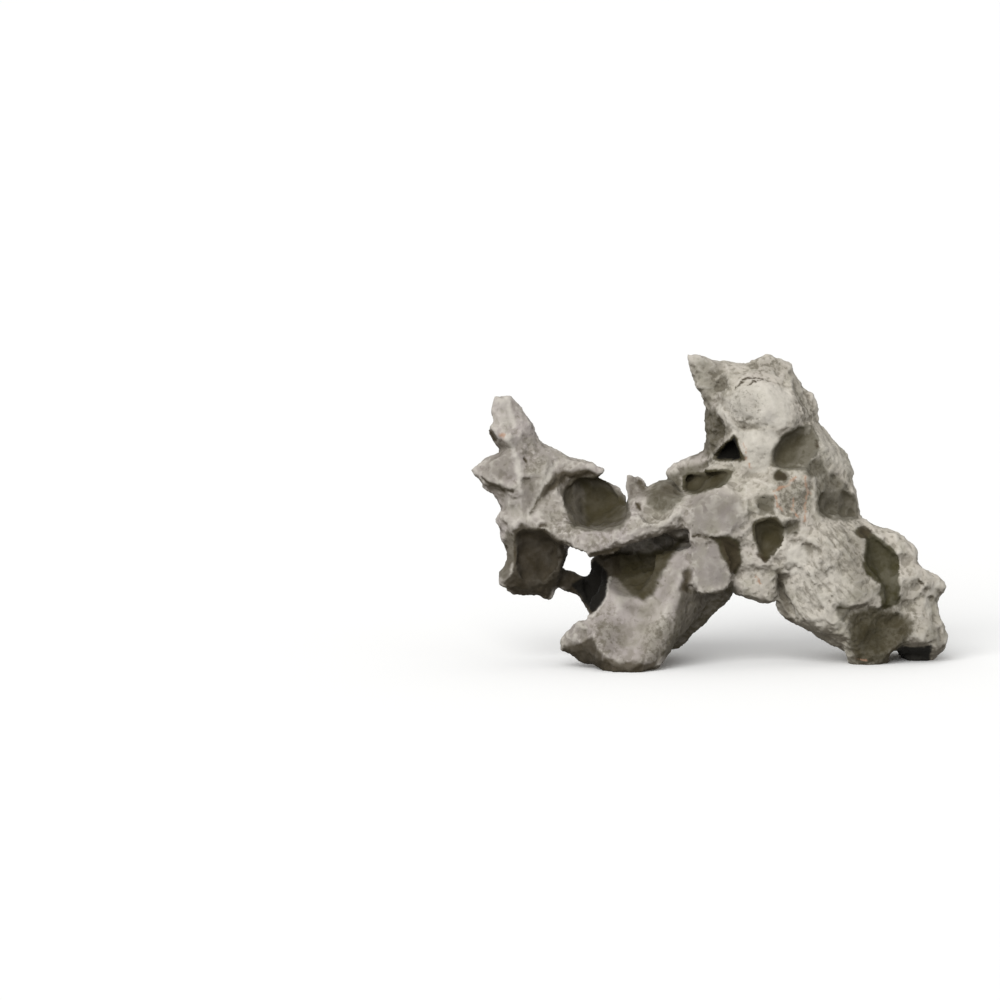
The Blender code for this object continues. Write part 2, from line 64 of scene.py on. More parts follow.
# Balls and paths are written as text: commas within each ball or point, and a space before the next.
# Each lump is the hull of a few balls: x,y,z,radius.
stoneLumps = {
    # the tower, with its spike, crown and side knob
    "towerTop": "7.2,6,118.4,8.5 26,4,117.6,10.5 8,6,98,9.5 35,6,103,10.3 20,-9,110,10 28,-9,104,10 "
        "22,20,104,12",
    "towerWaist": "8,6,92,9.3 35,6,97,11 48.6,6,80,12.3 14,2,78,14 30,20,80,14 20,-10,94,8 36,-6,92,10",
    "spike": "-8.4,0,130,0.8 0,2,121,3.8 4,3,122.6,4.4 0.5,3,112,3.3",
    "crown": "25,0,126.8,3.8 18,2,122,4.3 30.4,2,122.8,4.8 26,10,120,6",
    "sideKnob": "41.6,4,111.6,3.2 37,6,104,6 42.8,6,103,4",
    # the middle of the stone
    "body": "10,4,64,14 50,4,68,13 14,0,44,12 40,-8,48,14 55,8,56,10 20,16,66,14 44,22,62,14 30,-14,62,11 "
        "34,-9,76,12 18,-14,68,10 18,-12,48,10",
    "hem": "15,-10,40,8 16,-14,33.5,5 24,-14,32,5 20,-10,50,10 12,-10,34,4",
    "brow": "-7,-22,66,3 1,-23,69,3 12,-20,66,6 4,-12,76,4 13,-16,56,7 -7.5,-22,54,2 4,-24,58,3",
    "browStep": "1,-8,80,3 10,-8,82,4 12,-12,74,5 -6,-14,70,3 -4,-4,68,8",
    "apron": "-5.4,-22,52,2 8,-21,52,2.4 -5.6,-22,37,2 -3,-22,33.4,2 4.4,-20,33.6,2 7.6,-18,40,2 2,-4,42,8",
    "rearRim": "-14.5,6,79.3,3.2 -7,6,80,3.2 6,6,87,4.4 8,4,78,8 -10,6,70,6",
    "saddle": "-20,0,66,7 -8,4,68,8 -2,2,60,10 -12,-6,60,7",
    "waistCore": "-14,6,52,8 -4,2,56,8 0,10,62,8 -18,8,60,7 -6,8,44,9",
    "caveBack": "-26,8,57,7.4 -38,8,49,6 -16,8,58,8 -30,12,44,8",
    # the right leg
    "slope": "39.2,-8,27.4,10.4 50,-12,22.6,9.2 44,-12,50,12 62.6,-8,12.4,7 70,-6,7,6.6 76,2,46,9 64,4,52,8 "
        "80,0,30,10 84,2,12,7 60,18,40,12 74,20,14,9 62,-12,30,8",
    "ridge": "78,-4,51,3.8 83,-2,47.5,2.9 87.4,0,38.6,2.9 99.6,-2,32,0.7 92,0,27,4 82,-8,34,4 80,0,38,6",
    "outerLeg": "88,0,24,7.5 95.5,-4,10,4.6 93,4,6,5 84,-2,14,8 90,18,14,8 88,22,6,5 88,-10,14,4",
    "heel": "89,4,3,5 87,16,4,7 90,10,10,6",
    "toe": "66,-8,4,7 71.6,-7,4,4.6 65,-10,12,7.6 74,-8,12,8 60,-14,14,4",
    # the ledge that crosses to the left arm, and the stone round its basin
    "ledgeRoot": "-10,-17,66,6 -12,-19,63.5,4 -28,-20,60,5 -30,-14,62,5 -18,-4,64,7",
    "ledge": "-28,-20,60,4.5 -38,-22,54.8,3 -50,-22,50,2.4 -60,-16,55.5,3.4 -60,-2,57,5 -46,0,55,5 "
        "-32,0,60,6",
    "ledgeTip": "-50.8,-22,47.6,0.8 -49,-20,51,3 -42,-21,52,3",
    "ledgeArm": "-50,-19,52,3.5 -60,-16,56,3.6 -72,-11,60,5 -64,0,58,6",
    "pillar": "-31,-8,68,3 -25.4,-7,71.2,3.4 -30,-14,61,5 -18,-10,64,8 -18.6,-5,73.4,4.4 -34,-2,62,4 "
        "-23,-13,66,5",
    "pillarSpike": "-35,-6,79.2,0.6 -30,-5,78.6,0.9 -31.4,-7,68,2.2 -28,-6,70.6,3",
    "basinWall": "-62,6,80,4 -46,6,75.4,2 -42,6,73.4,1.8 -40,6,67.6,1.8 -33,6,62,4 -58,6,56,6 -42,4,56,6 "
        "-62,-6,66,5 -48,12,66,4",
    # the left arm
    "armSpire": "-89,-6,111.2,2.2 -85,-5,111.4,2.2 -91.7,-6,100.4,2.6 -79.5,-4,99.5,4.6 -84,-10,96,3 "
        "-78,-2,92,5.5 -86,0,94,4",
    "arm": "-76,-2,90,5 -66,0,84,4.6 -82,-10,86,3 -80,-10,77,3 -84,-4,72,4 -80,-10,64,4 -66,-6,62,5 "
        "-62,4,78,5 -68,-8,80,3",
    "fin": "-99.6,-7,82.2,0.6 -91.4,-4,82,5 -92,-7,78,3 -84,-9,86,4 -82,-11,76,3",
    "finSkirt": "-92.8,-3,75.6,2.4 -87.4,-2,73.4,3.8 -84,-6,78,4 -84,-4,68,4",
    "shelf": "-45.8,-3,81.4,1.6 -50,-3,82.2,2.4 -58,-3,82.6,3 -66,0,84,4.6 -64,4,76,6 -52,6,79,2.6",
    "armLower": "-83,-7,62,4.6 -80,-11,58,2.5 -68,-6,60,6 -84,-3,54,4 -66,0,56,6 -80,-2,48,5",
    "armBack": "-83.5,2,93,4.6 -82,4,74,5.4 -80,4,56,5 -79,5,46,4.4",
    "wart": "-89,-5,60.5,1.6 -84,-5,62.5,4 -84,-5,57,3.5",
    "blob": "-83.8,-4,36.4,5 -82,-6,47,3 -81,1,33,4.4 -70,2,34,5 -67,4,46,6 -67,0,52,6 -80,4,50,5 "
        "-82,-8,40,3 -66,-2,40,3",
    "blobSpike": "-68,2,27,1.1 -70,3,33,3 -66.5,4,36,2",
    "strip": "-66,5,35,2.2 -60,7,35,1.9 -54.6,8,30.6,3 -49,8,32,4",
    # the left leg
    "legBack": "-48.5,8,39,3 -51.6,8,29.6,3.4 -47,4,22,3.4 -40,10,44,5 -20,6,50,6 -30,16,20,8",
    "leg": "-9,-17,46,3 -12,-20,30,3 -19,-26,14,3.4 -26,-31,6,5 -34,-34,4.6,6 -43,-31,7,5.6 -49,-24,20,2 "
        "-43,-12,36,2.4 -40,-4,40,5 -8,-4,30,8 -4,-2,40,8 -18,-2,14,5",
    "flank": "4.6,-2,32.4,6.2 -4.4,0,22.8,5 -11,2,14.8,4.6 -15,2,7.4,2.2 -20,8,16,8 -8,6,32,9",
    "foot": "-39,-33,4,5.4 -32,-33,4,5.4 -25,-26,5,5 -46,-27,5.4,4.6 -34,-16,6,8",
    "footKnob": "-59.8,-22,9.8,3 -54.4,-24,16.4,3.6 -50,-24,9.4,6 -52,-22,6.6,4",
    "backFoot": "-36,18,5,6 -24,20,5,5.5 -28,12,18,8",
}

# Each hollow is the hull of a few balls too, and is cut out of the lumps.
stoneHollows = {
    "towerLeftCurve": "-13,0,104,10.2 -12.5,4,96,10",
    "hole": "-56.2,-30,46.4,5.6 -56.2,22,40.4,5.6 -52.5,-30,43,4 -52.5,22,36.5,4",
    "edgeScoop": "104.6,-4,21.5,8.4",
    "heelCave": "84,-18,1.8,5.4 92,-18,0.8,5.4 87.6,-5,0,5",
    "instep": "78.6,-30,4.6,3.8 79.4,40,-2.8,3.8",
    "ridgeCurve": "98,-2,46,10.8",
    "armLeftCurve": "-94.8,-4,66.2,6.6",
    "blobLeftCurve": "-92.4,-4,45,7.4",
    "knobNotch": "-55.8,-28,24,4.2 -56.4,-10,25,4.8",
    "legTrough": "-27,-33,40,14 -34.5,-45,21,17 -38,-52,13,17.5",
    "floorArch": "-2,-10,4,8 21,-10,12,10.5 40,-10,-5.6,12.4 -2,40,4,8 21,40,12,10.5 40,40,-5.6,12.4",
}

# Each scoop is cut where a line of sight meets the lumps. Its balls are across,up,radius,depth, with
# the depth below the skin. A sight is (turn, lift) in degrees, turn 0 from the front, 90 from the right.
frontScoops = {
    # tower
    "towerScoop": "27.2,83.6,1.6,3.4 28.6,89,2,5 32,94,2,5 38,97.4,1.8,4 43,98.2,1.6,2.2 44.4,91,3,1.4 "
        "40,83.6,3,1.6 32,83,1.8,3.2 33,89,6,6",
    "towerScoopPit": "28.4,78.4,1.5,5 30.4,77.6,1.2,4",
    "towerDimple": "45.4,92,1.4,1.8",
    "towerShoulder": "41.6,83.6,1.6,1 46,84,1.6,1 48,80,1.6,1 42,79,1.6,1",
    "towerCave": "10,94.4,0.7,15 13,85.8,0.9,15 5.2,86.2,0.9,11 2.6,85.8,0.7,6",
    "towerRecess": "3.4,101,3,2.2 4,95,3.4,3.4 1.4,90,3,3",
    "spikePit": "5.6,119.6,2,2.6 2.4,115,2,2 7,115.6,1.6,1.8",
    "spikeFace": "-2,121,6.9,1",
    "crownNotch": "36,115.4,1.4,2",
    # body
    "rimSlot": "-9,77.4,1.3,6 -9.4,73,1.1,6 -6,72,1.2,5 2,74.6,1.6,3 7.6,79.4,1.3,2.2 -2,79.4,1.3,3",
    "rustPatch": "33,69,16,1.6",
    "bodyDimple": "20.6,68.6,1.8,1.4 25.4,69,1.8,1.4 25.4,63,1.8,1.6 21,63,1.8,1.6",
    "bodyScoop": "20.4,57,1.8,3 22.6,59,1.6,3 27,59.2,1.6,3 28.4,56,1.8,4 28,51,2,4 25.6,47.6,1.8,3 "
        "22.6,47.4,1.6,3 20.8,51.6,1.8,4 24.8,53.6,4.6,6.6",
    "bodyScoopSide": "32.4,59,1.5,1.6 37.4,59.4,1.5,1.4 36,55.6,1.5,1.6 33,55,1.5,1.8",
    "bodySlot": "21.4,46.4,1,2 23.4,44,1,2",
    "shoulderScoop": "46.6,64.4,2,2.6 48,69,2.4,3 55.6,70.8,2.4,3 60,68,2.4,3.4 61.6,63,2.4,3.4 57,61.8,2,3 "
        "50.6,62.6,2,3 54,66,6,5",
    "shoulderUpper": "46,77,2.4,1.2 54,78,2.4,1.2 56,73.6,2.6,1.4 48,73,2.6,1.4",
    "slopePit": "63.4,54.6,1.6,2.4 65.4,55.6,1.6,2.4 67.4,53.4,1.4,2",
    "browPit": "-3,65,1.2,1.8",
    "browFace": "5,62,20.7,1.2",
    "apronSide": "6,50,1.6,1.4 9.4,48,1.8,2 10.6,42,2,2.2 9.6,39,1.6,1.4",
    "apronSlot": "-9.2,37,0.9,3 -9.6,33,1,3",
    "hemPit": "16,42,1.6,1.4",
    "lowerSlot": "28.4,37.4,1.2,2.4 29.6,31,2.2,3.6 33,23,2.4,3.4 36,18.6,1.6,2",
    # right leg
    "oliveScoop": "68.2,52.4,1.4,2.4 75.2,46.8,1.8,3.4 78.6,42,1.8,3.4 77.6,36.4,1.8,3 72.6,35.4,2,2.6 "
        "66.6,41,1.8,2.4 72.4,43,4.6,4.6",
    "oliveTail": "74,34,2,2.4 77.4,31,1.4,2.2 75.4,25.4,1.3,1.6",
    "toeScoop": "62,17,8,2 70,17,8,2.4 79,17,8,2 68,8,8,3 74,6,8,2.6",
    "toeDimple": "54.4,22,1.8,1.6 57.4,22,1.8,1.6 57,19.4,1.8,1.6",
    "slopeFacet": "37,43,20.7,1.2",
    "slopeFacetLow": "48,29,26,1",
    "slopeFacetRight": "60,38,24,1",
    "ridgeFace": "86,43,11.5,1.2",
    "ridgeFaceLow": "88,29,11.5,1.2",
    "outerFace": "90,15,11.5,1.5",
    # ledge and basin
    "basin": "-61.2,71,1.4,3 -59,64,1.6,3 -56.8,57.4,1.2,2.6 -48,57,1.6,4 -38.4,57.8,1.2,3 -35.4,61,1.2,3 "
        "-35.6,66,1.8,3 -42,71,2.6,6 -47,76,2.2,5 -55,75.4,2.2,5 -48,67,10,8",
    "pillarFace": "-24,69,11.5,1.2",
    "pillarPit": "-30.6,65,1.1,1.6",
    "caveLobe": "-28,30,3,1.4 -34,36,3,2 -23,35,3,2",
    "legSide": "-46.6,35,1.6,3 -48.4,29,1.6,3 -50.4,24,1,2 -52,31,2,3",
    # left arm
    "spireLeft": "-91,105,12,1",
    "spireRight": "-81,104,10.6,1.3",
    "armCheek": "-86.6,84,16,1.8 -91,82,16,1.2 -86,79,12,1.2",
    "finSlot": "-94,75.2,0.8,1.6 -89,73.4,0.9,1.8 -84.4,71.8,0.9,1.8",
    "armFace": "-75,88,13.8,1",
    "armBand": "-77.4,91,2.4,0.9 -77,84,2.4,0.9",
    "armRecess": "-77.6,75.6,1.6,1.6 -74,76,1.6,1.6 -74.6,70,1.6,1.6 -77.6,64,1.3,1.2",
    "armGroove": "-63,77.6,1.8,1 -69,71.4,1.8,1.2 -74.6,63.4,1.2,1",
    "shelfUnder": "-64,78.6,1.5,1.2 -57,78.8,1.5,1.4 -52,79.4,1.2,1.2",
    "armFacet": "-65,67.4,12,1.4",
    "armOuter": "-84,64,12,1.4",
    "armRimPits": "-70.6,57.2,1.4,1.6 -68.4,57,1.2,1.4",
    "armRimFace": "-61,57,3.4,1.4",
    "blobScoop": "-79.6,53.6,1.8,3.4 -71,53.6,2.2,4.4 -65.4,48.6,2.2,4.4 -66,41,2.2,4.4 -70,35.4,1.8,3 "
        "-78.6,36,1.8,2.6 -81,45,1.4,2.6 -73,45,10,5.4",
    # left leg
    "knobFace": "-57,12,9.2,0.9",
}
backScoops = {
    "backTower": "-24,108,13,5",
    "backTowerLeft": "-8,104,11,3.4",
    "backTowerLow": "-10,88,11,4 -16,84,11,4",
    "backTowerSide": "-37,90,12,5",
    "backTowerFoot": "-27,78,9,2.6",
    "backBody": "-14,66,12,4",
    "backBodyMid": "-32,66,11,3.6",
    "backBodyRight": "-52,68,12,5 -46,62,12,5",
    "backBodyLow": "-22,48,13,4",
    "backWaist": "-2,56,11,4",
    "backSlope": "-60,48,13,5 -68,40,12,4.6",
    "backSlopeMid": "-42,44,12,4",
    "backSlopeLow": "-58,26,13,4",
    "backOuter": "-78,26,10,4 -83,18,10,4",
    "backRidge": "-84,42,10,3",
    "backSaddle": "12,68,9,3",
    "backPillar": "30,66,7,1.4",
    "backLeg": "14,44,11,4 22,34,11,4",
    "backLegUpper": "36,46,10,3",
    "backLegLow": "36,28,10,4",
    "backFootFace": "28,12,8,3",
    "backArm": "66,72,11,3",
    "backBasin": "50,66,11,2.6",
    "backArmHigh": "80,92,9,2.6",
    "backArmEdge": "82,76,8,2.4",
    "backArmLow": "76,52,9,2.6",
    "backBlob": "74,40,8,2",
}
rightScoops = {
    "rightTower": "14,108,10,2.6",
    "rightShoulder": "16,90,10,3 18,82,10,3",
    "rightBody": "17,66,10,2.6",
    "rightRidge": "12,48,11,4 18,38,10,4",
    "rightHeel": "12,24,9,3",
}
leftScoops = {
    "leftTower": "-12,112,11,3.6",
    "leftTowerLow": "-16,94,11,4",
    "leftLeg": "0,30,10,3.4",
    "leftLegLow": "16,12,8,2.4",
    "leftArm": "2,88,8,1.8",
}
topScoops = {
    "topTower": "14,12,11,3",
    "topCrown": "30,12,9,2.4",
    "topShoulder": "46,18,11,4",
    "topSlope": "70,14,11,4",
    "topOuter": "88,14,9,3",
}
stoneScoops = {
    frontSight: frontScoops,
    (-12, 0): {
        "legCave": "-30,45,8,8 -40,41,6,7 -18,51.4,5,5 -28,35,6,5",
    },
    (180, 6): backScoops,
    (90, 8): rightScoops,
    (-90, 8): leftScoops,
    (0, 88): topScoops,
}

# What each hollow is painted with: shares of olive silt, of umber silt mixed with painted shade, and of
# painted shadow. The rest stay bare.
stainAndShadeKinds = {
    "bare": (0, 0, 0),
    "olive": (1, 0, 0),
    "umberAndShade": (0, 1, 0),
    "oliveUmberAndShade": (1, 0.5, 0),
    "thinUmberAndShade": (0.3, 0.5, 0),
    "thinSiltAndShade": (0.65, 0.3, 0),
    "paintedShadow": (0, 0.4, 1),
    "faint": (0.12, 0.25, 0),
}
hollowStainsAndShade = {
    "olive": ["oliveScoop", "oliveTail", "rimSlot"],
    # silt with painted shade in the scoops, the basin and the tower
    "thinSiltAndShade": ["shoulderScoop", "basin", "towerScoop", "backTowerLow", "rightRidge"],
    "thinUmberAndShade": ["backOuter", "backBodyRight", "backLeg", "backBasin"],
    # umber silt with painted shade in the blob's hollow, beside the apron and under the arches
    "umberAndShade": ["apronSide", "rightShoulder", "blobScoop", "floorArch", "instep"],
    # silt with painted shade round the tower's cave and in small scoops
    "oliveUmberAndShade": ["towerCave", "bodyScoop", "bodySlot", "towerScoopPit", "slopePit", "caveLobe"],
    # painted shadow deep in the heel's cave
    "paintedShadow": ["heelCave"],
    # a little painted shade in small recesses
    "faint": ["legCave", "toeScoop", "bodyScoopSide", "shoulderUpper", "lowerSlot", "toeDimple",
        "towerRecess", "bodyDimple", "crownNotch", "towerDimple", "finSlot", "armRecess", "armGroove",
        "apronSlot", "browPit", "pillarPit", "spikePit", "armRimPits", "shelfUnder", "backWaist", "backBody",
        "backSlope", "backSlopeLow", "backFootFace", "leftTowerLow", "leftLeg", "rightHeel", "topSlope",
        "topShoulder"],
}

# Marks read on the front, by kind: a stroke's radius or the softness of a patch's edge, the depth that it
# is pushed in, and its path or its outline as across,up.
frontStrokes = {
    "faintOlive": [(1.4, 0.3, "-83,109 -81.6,106"), (6, 0.1, "-42,17 -39,9")],
    "rust": [(0.9, 0, "-88.2,94.8 -87,95.6"), (0.5, 0, "26.6,71.5 28.4,73.3 32,74.2 33,76 35.7,77.8"),
        (0.45, 0, "27,70.5 28.4,66 30.2,63.3"), (0.55, 0, "39.7,78.7 40.2,72.4 39.6,67 39.8,59.7"),
        (0.45, 0, "40.2,72.4 42,71"), (0.45, 0, "34.8,68.7 33.9,64.2 37,60.6"),
        (0.4, 0.2, "18.4,36.2 21.2,33.4"), (0.3, 0, "14,92 15.6,86 17,81"), (0.35, 0, "62,0.8 66,0.6")],
    # dark cracks, pits and slots, with painted shade under the knob and the ledge
    "umberAndShade": [(1.2, 0.4, "-93.4,98 -90.6,93.6"), (0.8, 0.4, "-78.2,85 -77.6,84"),
        (1, 0.4, "-71.6,57.4 -69.4,58.2"), (1.3, 0.2, "-50,45.4 -44,46.2 -38,47.6"),
        (1.1, 0.6, "-30.8,66.4 -30.6,64.6"), (1.6, 0.3, "-29.4,75.6 -27.6,73.4"),
        (2.2, 0.8, "-9.8,37 -10.6,31"), (0.45, 0.3, "11,115.8 14,118.2 17.6,119.4 22,119"),
        (0.4, 0.2, "15.6,116.6 18,118 20,118"), (1.3, 0.5, "20.4,45.4 23.4,42.8"),
        (1.1, 0.8, "45,92.4 45.4,91"), (0.8, 0.4, "88.6,34.6 90.4,32.8")],
    "shade": [(1.4, 0.4, "-78,95.4 -77.4,93.4"), (0.8, 0.3, "-78.6,77.2 -72.4,77.4"),
        (1.4, 0.5, "-22.4,13 -20.6,11.6"), (1.2, 0.4, "-17.4,18 -16.6,17"),
        (0.6, 0.2, "22,119 30,117.4 36.6,115"), (0.5, 0.2, "12,98.6 17,98 21,98.8"),
        (1.1, 0.3, "-3.4,66.6 -2.8,64"), (1.8, 0.3, "96,13 98.6,10")],
    # painted shadow under the fin and the brow, and in a pit of the tower's scoop
    "deepShadeAndSilt": [(0.8, 0.3, "-97,77.6 -92,75 -88,73 -83,71.6"), (2.6, 0.8, "28.2,78.6 30.6,77.8"),
        (0.7, 0.5, "-7.6,52.8 -4,53.2 0,52.6 4,51.4")],
    # pale crests, with a painted highlight along the edges that catch the light
    "paleAndHighlight": [(1.3, 0, "-87,95 -83.6,91 -81,84 -80,76"), (1.4, 0.4, "-65,84 -69.6,76 -73.8,67 -76.6,60"),
        (1.4, 0, "-85.6,112 -84.6,106 -82.4,99"), (0.8, -0.3, "-41.4,37 -43.6,30 -45.4,25 -49.6,19.6"),
        (1.6, 0, "4,108 8,101 11.6,96"), (1.2, 0, "97,33 92,28 93,20")],
    # painted highlight on the blob's crest
    "paintedHighlight": [(0.9, -0.3, "-82.8,49 -81.6,43.6 -85.4,34.6")],
    "mottle": [(3, 0.1, "-50,49 -42,50"), (2, 0.1, "-30,58 -20,61"), (4, 0.2, "-20,18 -21,9")],
    "pitted": [(4, 0.4, "2,121 6,116 3,113"), (3.4, 0.3, "0,110 2,96")],
    "thinUmberAndShade": [(1.5, 0.4, "46,41.2 46.8,40.2"), (1.4, 0.4, "40.4,31.4 41,30.6"),
        (1.3, 0.4, "46,23.6 47,22.6")],
}
